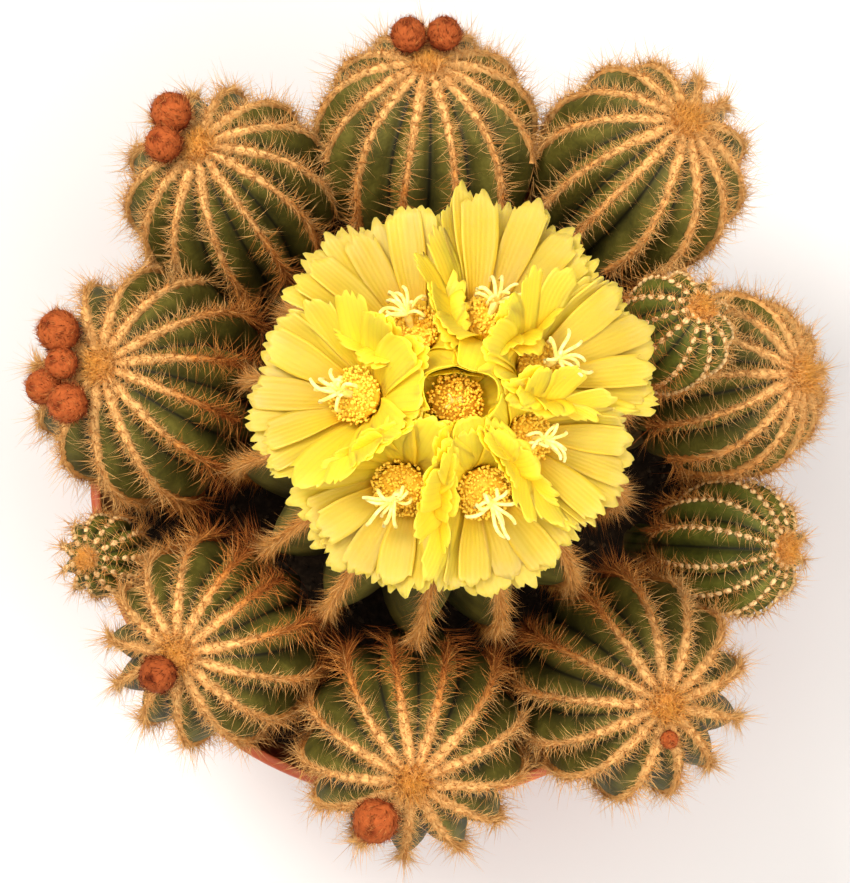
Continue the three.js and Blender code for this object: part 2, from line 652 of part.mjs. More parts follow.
function stamenGeometry(flower) {
  const surface = new Surface();
  const foot = TUBE_LENGTH + 2 * GAP + (flower.middle ? 1 : 2) * LAYER_HEIGHT;
  const sections = Array.from({ length: STAMEN_COLUMNS }, (_, i) => {
    const angle = (i * 2 * Math.PI) / STAMEN_COLUMNS;
    const lift = foot + STAMEN_HEIGHT + (i % 2) * 1.1;
    const profile = [[1.9, foot], [3.4, foot], [STAMEN_RADIUS, lift - 1], [2.4, lift]];
    return surface.ring(profile.map(([radius, z]) => polar(radius, angle, z)));
  });
  sections.forEach((ring, i) => surface.band(sections[(i + 1) % STAMEN_COLUMNS], ring));
  return surface.geometry().applyMatrix4(flowerMatrix(flower));
}

function stigmaGeometry(flower) {
  const surface = new Surface();
  const foot = TUBE_LENGTH + 2 * GAP + (flower.middle ? 1 : 2) * LAYER_HEIGHT;
  const top = foot + STAMEN_HEIGHT + 3;
  const corners = Array.from({ length: STIGMA_LOBES }, (_, i) => ((i - 0.5) * 2 * Math.PI) / STIGMA_LOBES);
  const rings = [[0.8, foot], [0.9, top], [0.9, top + 1]].map(([radius, z]) =>
    surface.ring(corners.map((corner) => polar(radius, corner, z))));
  surface.fan(rings[0], surface.point(vector(0, 0, foot)), -1);
  surface.band(rings[0], rings[1]);
  for (let i = 0; i < STIGMA_LOBES; i++) {
    const j = (i + 1) % STIGMA_LOBES;
    const reach = flower.middle ? 0.7 * STIGMA_REACH : STIGMA_REACH;
    const tip = polar(reach, (i * 2 * Math.PI) / STIGMA_LOBES, top + 2.4 - (i % 2));
    surface.fan([rings[1][i], rings[1][j], rings[2][j], rings[2][i]], surface.point(tip));
  }
  surface.fan(rings[2], surface.point(vector(0, 0, top + 1.2)));
  return surface.geometry().applyMatrix4(flowerMatrix(flower));
}

// Buds

function budSolid(stem) {
  const balls = budBalls(stem).map(({ centre, radius, outward }) => {
    const bud = turned([[0, -1], [0.72, -0.68], [1, -0.05], [0.78, 0.62], [0, 1.12]], 6);
    bud.scale(radius, radius, radius);
    bud.applyQuaternion(new THREE.Quaternion().setFromUnitVectors(vector(0, 0, 1), outward));
    return solidOf(bud.translate(centre.x, centre.y, centre.z));
  });
  return wasm.Manifold.union(balls);
}

// The plant in its pot

const cactus = new THREE.Group();
const stems = [MOTHER, ...OFFSETS];
OFFSETS.forEach((stem) => {
  stem.stations = stem.small ? SMALL_STATIONS : LARGE_STATIONS;
});

cactus.add(piece("pot", geometryOf(potSolid()), terracotta));
cactus.add(piece("soil", geometryOf(soilSolid(stems)), earth));

const plant = new THREE.Group();
plant.position.z = RIM_HEIGHT;
cactus.add(plant);

const random = seededRandom(11);
for (const stem of stems) {
  const group = new THREE.Group();
  group.rotation.z = radians(stem.bearing);
  group.add(piece(stem.name + "_stem", stemGeometry(stem), stem.small ? youngSkin : skin));
  group.add(piece(stem.name + "_spines", spineGeometry(stem, stems, random), goldenWool));
  if (stem.buds?.length) group.add(piece(stem.name + "_buds", geometryOf(budSolid(stem)), rustWool));
  plant.add(group);
}

plant.add(piece("flower_tubes", geometryOf(tubesSolid()), rustWool));
[...FLOWERS, MIDDLE_FLOWER].forEach((flower, i) => {
  plant.add(piece(`flower_${i + 1}_petals`, petalGeometry(flower), petalYellow));
  plant.add(piece(`flower_${i + 1}_stamens`, stamenGeometry(flower), stamenGold));
  plant.add(piece(`flower_${i + 1}_stigma`, stigmaGeometry(flower), stigmaCream));
});

export default cactus;
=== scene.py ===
"""The looks of a potted balloon cactus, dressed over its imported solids.

Lengths are in millimetres and turned into metres when a mesh is made. The plant's driving dimensions are
the same as in the part's source.
"""
import math

import bpy
import numpy as np
from mathutils import Matrix, Vector


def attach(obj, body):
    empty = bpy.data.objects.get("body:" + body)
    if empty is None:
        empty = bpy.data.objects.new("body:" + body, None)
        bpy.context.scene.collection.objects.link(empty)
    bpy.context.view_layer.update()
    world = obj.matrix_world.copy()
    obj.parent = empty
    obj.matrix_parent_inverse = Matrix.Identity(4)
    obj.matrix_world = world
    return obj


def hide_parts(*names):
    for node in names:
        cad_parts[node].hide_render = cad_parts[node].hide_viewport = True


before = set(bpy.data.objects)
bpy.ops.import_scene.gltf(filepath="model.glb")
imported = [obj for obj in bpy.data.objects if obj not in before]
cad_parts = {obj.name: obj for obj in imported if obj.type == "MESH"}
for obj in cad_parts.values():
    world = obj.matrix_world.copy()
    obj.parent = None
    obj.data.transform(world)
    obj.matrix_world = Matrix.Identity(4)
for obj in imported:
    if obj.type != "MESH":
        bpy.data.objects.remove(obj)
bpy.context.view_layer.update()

METRE = 0.001  # one millimetre in Blender's units
TURN = 2 * math.pi

# Pot and soil
RIM_HEIGHT = 112
RIM_RADIUS = 102
FOOT_RADIUS = 74
FOOT_RECESS = 1.2  # how far the underside stands above the foot ring
FOOT_ROUNDING = (2.2, 2.6)  # across and up
RIM_ROUNDING = (1.6, 1.9)
LIP_ROUNDING = (0.8, 0.8)
POT_WALL = 3.2
COLLAR_HEIGHT = 20
COLLAR_STEP = 4
DRAIN_HOLES, DRAIN_RADIUS, DRAIN_CIRCLE = 6, 5, 48
SOIL_BELOW_RIM = 12
HOLE_DEPTH = 8
STEM_FOOT = -SOIL_BELOW_RIM - HOLE_DEPTH
GRIT = 850  # loose grains on the potting mix

# Stems
RIB_DEPTH = 0.23  # groove depth as a share of the crest radius
RIB_SHARPNESS = 1.3  # 1 gives flat flanks, and more rounds the crest
TIP_SQUAT = 0.94
NECK = 0.3
BELLY = 1.15
NECK_BEND = 0.55
MOTHER_RISE = 66
RIB_COLUMNS = 8  # points across a rib
SMALL_STEP = 0.01  # along a stem, in stations, to find which way its surface runs
CHIN, YOUNG_CHIN = 0.006, 0.02  # how far the skin swells under an areole, as a share of the crest radius

# Wool and spines
GAP = 0.35
AREOLE_STEP = 3.4  # along a grown rib
YOUNG_AREOLE_STEP = 3.0
WOOL_WIDTH = 2.15
WOOL_HEIGHT = 1.2
WOOL_END, SPINE_END = 1.93, 1.9  # stations near the tip, where the lines of wool and of spines end
BARE_REACH = 38  # the mother's wool has no fine hairs inside this radius, under the flowers
CROWN_HEIGHT = 2.6
MOTHER_WOOL = (1.35, 1.3)  # how much wider and higher the mother's wool is
CROWN_HAIRS, MOTHER_CROWN_HAIRS = 520, 60
BUD_FULLNESS = 0.88  # a round bud beside the six-sided solid that stands for it
BUD_HAIRS = 115  # to a millimetre of radius
BUD_DARKNESS = {"offset_8": 0.34, "offset_1": 0.14}
SPINE_LENGTH = 8.2
SPINE_WIDTH = 0.22
SPINES_EACH = 3  # bent ones at one areole
FUZZ = 7.4  # fine hairs to a millimetre of rib
WOOL_STEP = 1.5
FINE_SPINES_EACH = 10  # straight ones at one areole

# Flowers
CROWN_DOME = 100
TUBE_SINK = 0.6
PAD_RADIUS = 18
PAD_THICKNESS = 2
TUBE_LENGTH = 13
TUBE_FOOT_RADIUS = 4
TUBE_TOP_RADIUS = 6.4
PETAL_THICKNESS = 0.34
MIDDLE_REACH = 11.8  # the middle flower stays inside this radius
MIDDLE_LEAN = 0.3  # how much the ring of flowers closes in over it with height
MIDDLE_CLEARANCE = 0.3
BORDER_LEAN = 1.0  # slope of the border between two flowers, where one's petals lie over the other's
OVERLAP = 4.6  # how far one flower's petals reach over the next one's at the most
REAR_CROWDING = 0.28  # how much closer the rear petals stand than the outward ones
CLUSTER_REACH = 54  # radius of the whole cluster of flowers, which the petals in its corners reach
THROAT_REACH = 24
OPEN_HEIGHT = 24  # above the pad of wool, where the flowers open
FLOWERS_REACH = 34  # radius of a ball at that height, which the mother's spines keep out of
PETAL_ROWS, PETAL_COLUMNS = 12, 11
STAMENS = 300
GOLDEN_ANGLE = 2.39996
LOBES = 11
PAD_HAIRS, TUBE_HAIRS, TUBE_BRISTLES = 700, 300, 70
SEPALS = 10


def unit(v):
    return v / np.maximum(np.linalg.norm(v, axis=-1, keepdims=True), 1e-9)


def smoothstep(low, high, x):
    t = np.clip((x - low) / (high - low), 0, 1)
    return t * t * (3 - 2 * t)


def turn_z(degrees):
    c, s = math.cos(math.radians(degrees)), math.sin(math.radians(degrees))
    return np.array([[c, -s, 0], [s, c, 0], [0, 0, 1]])


def turn_y(degrees):
    c, s = math.cos(math.radians(degrees)), math.sin(math.radians(degrees))
    return np.array([[c, 0, s], [0, 1, 0], [-s, 0, c]])


def size_of(v):
    return np.linalg.norm(v, axis=-1)


def polar(radius, angle, height):
    """Points at a radius, angle and height round the Z axis."""
    return np.stack(np.broadcast_arrays(radius * np.cos(angle), radius * np.sin(angle), height), -1)


def leaning(tilt, bearing):
    """A direction off +Z by tilt, towards a bearing, both in radians."""
    return polar(np.sin(tilt), bearing, np.cos(tilt))


def between(first, second, angle):
    """The direction at an angle from the first direction, towards the second."""
    angle = np.asarray(angle)[..., None]
    return first * np.cos(angle) + second * np.sin(angle)


def running(steps):
    """The running total of steps, from zero on."""
    return np.concatenate([0 * steps[:1], np.cumsum(steps, axis=0)])


def ripple(points, size, seed):
    """A smooth wandering value between about -1 and 1 at each point, with waves about size long."""
    random = np.random.default_rng(seed)
    total = 0
    for _ in range(6):
        way = unit(random.normal(size=3)) * (TURN / size) * random.uniform(0.6, 1.5)
        total = total + np.sin(points @ way + random.uniform(0, TURN))
    return total / 3


def add_object(name, data):
    made = bpy.data.objects.new(name, data)
    bpy.context.scene.collection.objects.link(made)
    return made


class Body:
    """The points and faces of one piece, with named values at its points. A value not given is zero."""

    def __init__(self):
        self.points, self.quads, self.tris, self.values = [], [], [], []
        self.count = 0

    def add(self, points, quads=None, tris=None, **values):
        points = np.asarray(points, float).reshape(-1, 3)
        self.points.append(points)
        if quads is not None and len(quads):
            self.quads.append(np.asarray(quads).reshape(-1, 4) + self.count)
        if tris is not None and len(tris):
            self.tris.append(np.asarray(tris).reshape(-1, 3) + self.count)
        self.values.append({k: np.broadcast_to(np.asarray(v, float).ravel() if np.ndim(v) else v,
                                               len(points)) for k, v in values.items()})
        self.count += len(points)

    def skin(self, rings, foot, top, **values):
        """A closed skin over rings of points and two end points."""
        rows, sides = rings.shape[:2]
        count = rows * sides
        tris = np.concatenate([fan_faces(0, sides, count, False), fan_faces(count - sides, sides, count + 1)])
        self.add(np.concatenate([rings.reshape(-1, 3), [foot, top]]), grid_faces(rows, sides), tris, **values)

    def mesh(self, name):
        points = np.concatenate(self.points) * METRE
        quads = np.concatenate(self.quads) if self.quads else np.zeros((0, 4), int)
        tris = np.concatenate(self.tris) if self.tris else np.zeros((0, 3), int)
        made = bpy.data.meshes.new(name)
        made.vertices.add(len(points))
        made.vertices.foreach_set("co", points.astype(np.float32).ravel())
        corners = np.concatenate([quads.ravel(), tris.ravel()])
        sizes = np.concatenate([np.full(len(quads), 4), np.full(len(tris), 3)])
        made.loops.add(len(corners))
        made.loops.foreach_set("vertex_index", corners.astype(np.int32))
        made.polygons.add(len(sizes))
        made.polygons.foreach_set("loop_start", (np.cumsum(sizes) - sizes).astype(np.int32))
        made.update(calc_edges=True)
        made.polygons.foreach_set("use_smooth", np.ones(len(sizes), bool))
        for key in sorted({key for values in self.values for key in values}):
            data = np.concatenate([values.get(key, np.zeros(len(spots)))
                                   for values, spots in zip(self.values, self.points)])
            made.attributes.new(key, "FLOAT", "POINT").data.foreach_set("value", data.astype(np.float32))
        return made

    def piece(self, name, material, slot, *nodes):
        """Makes the piece, which takes the place of the named nodes."""
        made = add_object(name, self.mesh(name))
        made.data.materials.append(material)
        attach(made, "root")
        if nodes:
            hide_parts(*nodes)
        return made


def grid_faces(rows, columns, closed=True):
    """Quads between rows of points; each row closes on itself if closed."""
    last = columns if closed else columns - 1
    i, j = np.meshgrid(np.arange(rows - 1), np.arange(last), indexing="ij")
    k = (j + 1) % columns
    return np.stack([i * columns + j, i * columns + k, (i + 1) * columns + k, (i + 1) * columns + j],
                    -1).reshape(-1, 4)


def fan_faces(first, columns, tip, beyond=True):
    """Triangles from a ring of points, which starts at first, to one point."""
    a = first + np.arange(columns)
    b = first + (np.arange(columns) + 1) % columns
    return np.stack([a, b, np.full(columns, tip)] if beyond else [b, a, np.full(columns, tip)], -1)


def around(sides):
    """Even angles round a full turn."""
    return np.arange(sides) * TURN / sides


def lathe(body, profile, sides, **values):
    """Turns a profile of (radius, height) round the Z axis; it starts and ends on the axis."""
    profile = np.asarray(profile, float)
    rings = polar(profile[1:-1, :1], around(sides), profile[1:-1, 1:])
    body.skin(rings, [0, 0, profile[0, 1]], [0, 0, profile[-1, 1]], **values)


def each(values, n, times):
    """The values of n things, given to the points of each."""
    return {key: np.repeat(np.broadcast_to(value, n), times) for key, value in values.items()}


def spikes(body, roots, first, second, lengths, widths, **values):
    """Bent three-sided spikes: half of each goes in the first direction and half in the second."""
    n = len(roots)
    lengths, widths = np.reshape(lengths, (-1, 1)), np.reshape(widths, (-1, 1))
    middle = roots + first * lengths / 2
    tips = middle + second * lengths / 2
    side = unit(np.cross(first, np.roll(first, 1, -1) * (1, -1, 1)))
    other = np.cross(first, side)
    rings = [centre + between(side, other, angle) * widths * share
             for centre, share in ((roots, 0.5), (middle, 0.34)) for angle in around(3)]
    points = np.stack([*rings, tips], 1)
    start = np.arange(n)[:, None, None] * 7
    quads = start + np.array([[0, 1, 4, 3], [1, 2, 5, 4], [2, 0, 3, 5]])
    tris = start + np.array([[3, 4, 6], [4, 5, 6], [5, 3, 6], [2, 1, 0]])
    body.add(points, quads, tris, **each(values, n, 7))


def fibres(body, roots, directions, lengths, width, random, **values):
    """Fine straight hairs, each a slim closed spike of four faces."""
    n = len(roots)
    side = unit(np.cross(directions, random.normal(size=(n, 3)))) * width * 0.55
    other = np.cross(directions, side)
    tips = roots + directions * np.reshape(lengths, (-1, 1))
    back = roots - side / 2
    points = np.stack([roots + side, back + 0.87 * other, back - 0.87 * other, tips], 1)
    tris = np.arange(n)[:, None, None] * 4 + np.array([[0, 1, 3], [1, 2, 3], [2, 0, 3], [2, 1, 0]])
    body.add(points, tris=tris, **each(values, n, 4))


def copies(body, ball, frames, places, **values):
    """Places one small shape many times, each turned and stretched by its own matrix."""
    shape, quads, tris = ball
    n, k = len(places), len(shape)
    points = np.einsum("nij,kj->nki", frames, shape) + places[:, None]
    start = np.arange(n)[:, None, None] * k
    body.add(points, start + quads, start + tris, **each(values, n, k))


def ball_shape(sides, rings):
    """A unit ball of few faces: its points, quads and triangles."""
    level = np.arange(1, rings)[:, None] * math.pi / rings
    ball = Body()
    ball.skin(polar(np.sin(level), around(sides), -np.cos(level)), [0, 0, -1], [0, 0, 1])
    return ball.points[0], ball.quads[0], ball.tris[0]


def frames_on(outward, random):
    """Matrices whose third column is the outward direction, turned at random about it."""
    side = unit(np.cross(outward, random.normal(size=outward.shape)))
    return np.stack([side, np.cross(outward, side), outward], -1)


# Materials

class Nodes:
    """A material's shader nodes, added by short calls."""

    def __init__(self, name, roughness, **sockets):
        self.material = bpy.data.materials.new(name)
        self.material.use_nodes = True
        self.tree = self.material.node_tree
        self.shader = self.tree.nodes["Principled BSDF"]
        self.shader.inputs["Roughness"].default_value = roughness
        for key, value in sockets.items():
            self.shader.inputs[key.replace("_", " ")].default_value = value
        self.place = self.add("ShaderNodeTexCoord").outputs["Object"]

    def add(self, kind, sockets=None, **settings):
        """A new node, with its settings and the values or links of its sockets."""
        node = self.tree.nodes.new(kind)
        for key, value in settings.items():
            setattr(node, key, value)
        for key, value in (sockets or {}).items():
            self.put(value, node.inputs[key])
        return node

    def put(self, value, socket):
        if isinstance(value, (int, float, tuple)):
            socket.default_value = value
        else:
            self.tree.links.new(value, socket)

    def value(self, name):
        return self.add("ShaderNodeAttribute", attribute_name=name).outputs["Fac"]

    def noise(self, scale, detail=3, roughness=0.55, stretch=None):
        node = self.add("ShaderNodeTexNoise", {"Scale": scale, "Detail": detail, "Roughness": roughness})
        place = self.place
        if stretch:
            place = self.add("ShaderNodeMapping", {"Scale": stretch, "Vector": place}).outputs["Vector"]
        self.put(place, node.inputs["Vector"])
        return node.outputs["Fac"]

    def plus(self, a, b):
        return self.add("ShaderNodeMath", {0: a, 1: b}, operation="ADD").outputs[0]

    def times(self, a, b):
        return self.add("ShaderNodeMath", {0: a, 1: b}, operation="MULTIPLY").outputs[0]

    def span(self, value, low, high, to_low=0.0, to_high=1.0):
        return self.add("ShaderNodeMapRange", {"Value": value, "From Min": low, "From Max": high,
                                               "To Min": to_low, "To Max": to_high}).outputs["Result"]

    def ramp(self, value, *stops):
        node = self.add("ShaderNodeValToRGB")
        steps = node.color_ramp.elements
        while len(steps) < len(stops):
            steps.new(0.5)
        for step, (place, colour) in zip(steps, stops):
            step.position, step.color = place, paint(colour)
        self.put(value, node.inputs["Fac"])
        return node.outputs["Color"]

    def mix(self, share, a, colour, blend="MIX"):
        """Lays a colour over what is there so far, by a share."""
        sockets = {"Factor": share, "A": a, "B": paint(colour) if isinstance(colour, tuple) else colour}
        return self.add("ShaderNodeMix", sockets, data_type="RGBA", blend_type=blend).outputs["Result"]

    def finish(self, colour, roughness, height, depth, strength):
        """Links the colour, the roughness if there is one, and the bumps, depth millimetres high."""
        self.put(colour, self.shader.inputs["Base Color"])
        if roughness is not None:
            self.put(roughness, self.shader.inputs["Roughness"])
        bump = self.add("ShaderNodeBump", {"Strength": strength, "Distance": depth * METRE, "Height": height})
        self.put(bump.outputs["Normal"], self.shader.inputs["Normal"])
        return self.material


def paint(colour):
    """An 0 to 255 screen colour as the linear one that shaders take."""
    return tuple(((c / 255 + 0.055) / 1.055) ** 2.4 if c > 10 else c / 255 / 12.92 for c in colour) + (1,)


def skin_material(name, dark, green, light):
    n = Nodes(name, 0.6, Specular_IOR_Level=0.25)
    mottle = n.noise(90, 4)
    grain = n.noise(900, 2)
    tone = n.plus(n.times(mottle, 0.75), n.times(grain, 0.25))
    colour = n.ramp(tone, (0.32, dark), (0.5, green), (0.68, light))
    furrow = n.value("furrow")
    # Painted shade darkens the furrows, with a near-black painted shadow line at their bottom, and a painted
    # highlight lightens the crests.
    for low, high, share, shade in ((0.5, 1.0, 0.75, (28, 28, 12)), (0.35, 0.0, 0.3, (120, 112, 62)),
                                    (0.88, 1.0, 0.8, (14, 12, 6))):
        colour = n.mix(n.span(furrow, low, high, 0.0, share), colour, shade)
    base = n.times(n.span(n.value("station"), 0.55, -0.2), n.span(mottle, 0.35, 0.6))
    colour = n.mix(base, colour, (122, 96, 62))
    rough = n.span(grain, 0.3, 0.7, 0.56, 0.72)
    return n.finish(colour, rough, n.plus(grain, n.noise(240, 2)), 0.25, 0.45)


def wool_material(name, cream, gold, rust, dark):
    n = Nodes(name, 0.85, Specular_IOR_Level=0.15)
    wander = n.noise(400, 3)
    tone = n.plus(n.value("tone"), n.span(wander, 0.3, 0.7, -0.09, 0.09))
    colour = n.ramp(tone, (0.0, cream), (0.35, gold), (0.75, rust), (1.0, dark))
    colour = n.mix(n.value("gilt"), colour, (244, 174, 68))
    colour = n.mix(n.value("pale"), colour, (244, 208, 154))
    colour = n.mix(n.span(n.value("shade"), 0, 1, 0.0, 0.55), colour, (60, 28, 12), "MULTIPLY")
    strands = n.noise(1500, 2, 0.6)
    return n.finish(colour, None, strands, 0.45, 0.6)


def petal_material():
    n = Nodes("petal_yellow", 0.5, Specular_IOR_Level=0.3, Subsurface_Weight=0.55,
              Subsurface_Scale=0.004, Subsurface_Radius=(1.0, 0.7, 0.1))
    along = n.plus(n.value("along"), n.span(n.noise(170, 3), 0.3, 0.7, -0.07, 0.07))
    colour = n.ramp(along, (0.0, (206, 122, 16)), (0.2, (216, 160, 32)), (0.42, (208, 166, 40)),
                    (0.75, (205, 167, 56)), (0.95, (206, 173, 88)))
    # Painted light: rear and middle petals, which stand steep in each other's shade, are painted a brighter
    # warm yellow by their tone.
    colour = n.mix(n.value("tone"), colour, (255, 220, 50))
    veins = n.add("ShaderNodeTexWave", {"Scale": 1.0, "Distortion": 3.0}, wave_type="BANDS")
    across = n.add("ShaderNodeCombineXYZ")
    n.put(n.times(n.value("across"), 1.1), across.inputs["X"])
    n.put(n.times(n.value("along"), 0.5), across.inputs["Y"])
    n.put(across.outputs[0], veins.inputs["Vector"])
    colour = n.mix(n.span(veins.outputs["Fac"], 0.3, 0.0, 0.0, 0.12), colour, (214, 150, 24))
    height = n.plus(veins.outputs["Fac"], n.noise(700, 2))
    return n.finish(colour, None, height, 0.12, 0.3)


def stamen_material():
    n = Nodes("stamen_gold", 0.6, Specular_IOR_Level=0.3)
    grain = n.noise(2500, 2)
    colour = n.ramp(n.value("tone"), (0.0, (255, 226, 88)), (0.5, (250, 200, 54)), (1.0, (228, 140, 16)))
    colour = n.mix(n.span(grain, 0.45, 0.7, 0, 0.3), colour, (226, 150, 20))
    return n.finish(colour, None, grain, 0.1, 0.6)


def stigma_material():
    n = Nodes("stigma_cream", 0.55, Specular_IOR_Level=0.35, Sheen_Weight=0.2)
    fuzz = n.noise(3000, 2)
    colour = n.ramp(n.noise(500, 2), (0.35, (244, 226, 110)), (0.65, (255, 246, 164)))
    return n.finish(colour, None, fuzz, 0.08, 0.6)


def pot_material():
    n = Nodes("terracotta_plastic", 0.5, Specular_IOR_Level=0.45)
    cloud = n.noise(26, 5, 0.6)
    grain = n.noise(1100, 2)
    colour = n.ramp(cloud, (0.3, (186, 84, 50)), (0.5, (204, 96, 58)), (0.72, (214, 110, 70)))
    scuffs = n.noise(60, 6, 0.7, (1, 1, 5))
    colour = n.mix(n.span(scuffs, 0.6, 0.72, 0, 0.35), colour, (222, 152, 118))
    axes = n.add("ShaderNodeSeparateXYZ", {0: n.place})
    foot = n.times(n.span(axes.outputs["Z"], 0.014, 0.0), n.span(cloud, 0.35, 0.6))
    colour = n.mix(n.times(foot, 0.5), colour, (150, 104, 78))
    rough = n.span(scuffs, 0.4, 0.7, 0.42, 0.62)
    return n.finish(colour, rough, n.plus(grain, scuffs), 0.12, 0.35)


def soil_material():
    n = Nodes("potting_mix", 0.95, Specular_IOR_Level=0.2)
    crumbs = n.noise(320, 5, 0.65)
    # The mix's colours are very dark, partly its own colour and partly painted shade for the deep gaps
    # between the stems.
    colour = n.ramp(crumbs, (0.3, (18, 12, 8)), (0.52, (38, 27, 19)), (0.75, (62, 47, 34)))
    stones = n.ramp(n.value("shade"), (0.0, (40, 33, 26)), (0.4, (66, 53, 41)), (0.7, (84, 66, 48)),
                    (1.0, (52, 39, 29)))
    colour = n.mix(n.value("stone"), colour, stones)
    return n.finish(colour, None, crumbs, 0.8, 0.7)


def floor_material():
    n = Nodes("pale_floor", 0.85, Specular_IOR_Level=0.2)
    colour = n.ramp(n.noise(3, 2), (0.3, (214, 217, 228)), (0.7, (220, 223, 233)))
    return n.finish(colour, None, n.noise(900, 2), 0.1, 0.15)


# Pot

def arc(radius, height, size, start):
    """A quarter turn of a profile round a centre, from the start angle on, in degrees."""
    return [(radius + size[0] * math.cos(t), height + size[1] * math.sin(t))
            for t in np.radians(np.linspace(start, start + 90, 5))]


def slope(start, end, shares):
    """Points of a profile on the straight line from start to end."""
    return [(start[0] + (end[0] - start[0]) * t, start[1] + (end[1] - start[1]) * t) for t in shares]


def make_pot(material):
    """The turned pan with its upright collar, rounded rim, foot ring and drain holes."""
    wall_top = RIM_HEIGHT - COLLAR_HEIGHT
    wall_radius = RIM_RADIUS - COLLAR_STEP - 1
    inner = wall_radius - POT_WALL
    lip = RIM_RADIUS - POT_WALL
    foot = FOOT_RADIUS - FOOT_ROUNDING[0]
    profile = [(0, FOOT_RECESS), (FOOT_RADIUS - 7, FOOT_RECESS), (FOOT_RADIUS - 6, 0)]
    profile += arc(foot, FOOT_ROUNDING[1], FOOT_ROUNDING, -90)
    profile += slope((FOOT_RADIUS, 3), (wall_radius, wall_top), np.linspace(0.06, 1, 12))
    profile += [(RIM_RADIUS - 2, wall_top), (RIM_RADIUS - 1.2, wall_top + 0.3),
                (RIM_RADIUS - 1, wall_top + 1.2), (RIM_RADIUS - 0.7, wall_top + 8)]
    profile += arc(RIM_RADIUS - RIM_ROUNDING[0], RIM_HEIGHT - RIM_ROUNDING[1], RIM_ROUNDING, 0)
    profile += arc(lip + LIP_ROUNDING[0], RIM_HEIGHT - LIP_ROUNDING[1], LIP_ROUNDING, 90)
    profile += [(lip - 0.3, wall_top + 12), (inner + 1, wall_top), (inner, wall_top - 3)]
    profile += slope((FOOT_RADIUS - POT_WALL, POT_WALL), (inner, wall_top), np.linspace(0.9, 0, 10))
    profile += [(0, POT_WALL)]
    body = Body()
    lathe(body, profile, 160)
    pot = body.piece("pot_shell", material, "pot", "pot")
    cutter = Body()
    for i in range(DRAIN_HOLES):
        hole = Body()
        lathe(hole, [(0, -3), (DRAIN_RADIUS, -3), (DRAIN_RADIUS, 8), (0, 8)], 28)
        spot = polar(DRAIN_CIRCLE, (i + 0.5) * TURN / DRAIN_HOLES, 0)
        cutter.add(hole.points[0] + spot, hole.quads[0], hole.tris[0])
    tool = add_object("drain_cutter", cutter.mesh("drain_cutter"))
    cut = pot.modifiers.new("drain", "BOOLEAN")
    cut.object, cut.operation, cut.solver = tool, "DIFFERENCE", "EXACT"
    whole = pot.evaluated_get(bpy.context.evaluated_depsgraph_get())
    pot.data = bpy.data.meshes.new_from_object(whole)
    pot.modifiers.clear()
    bpy.data.objects.remove(tool)
    pot.data.set_sharp_from_angle(angle=math.radians(40))


# Stems

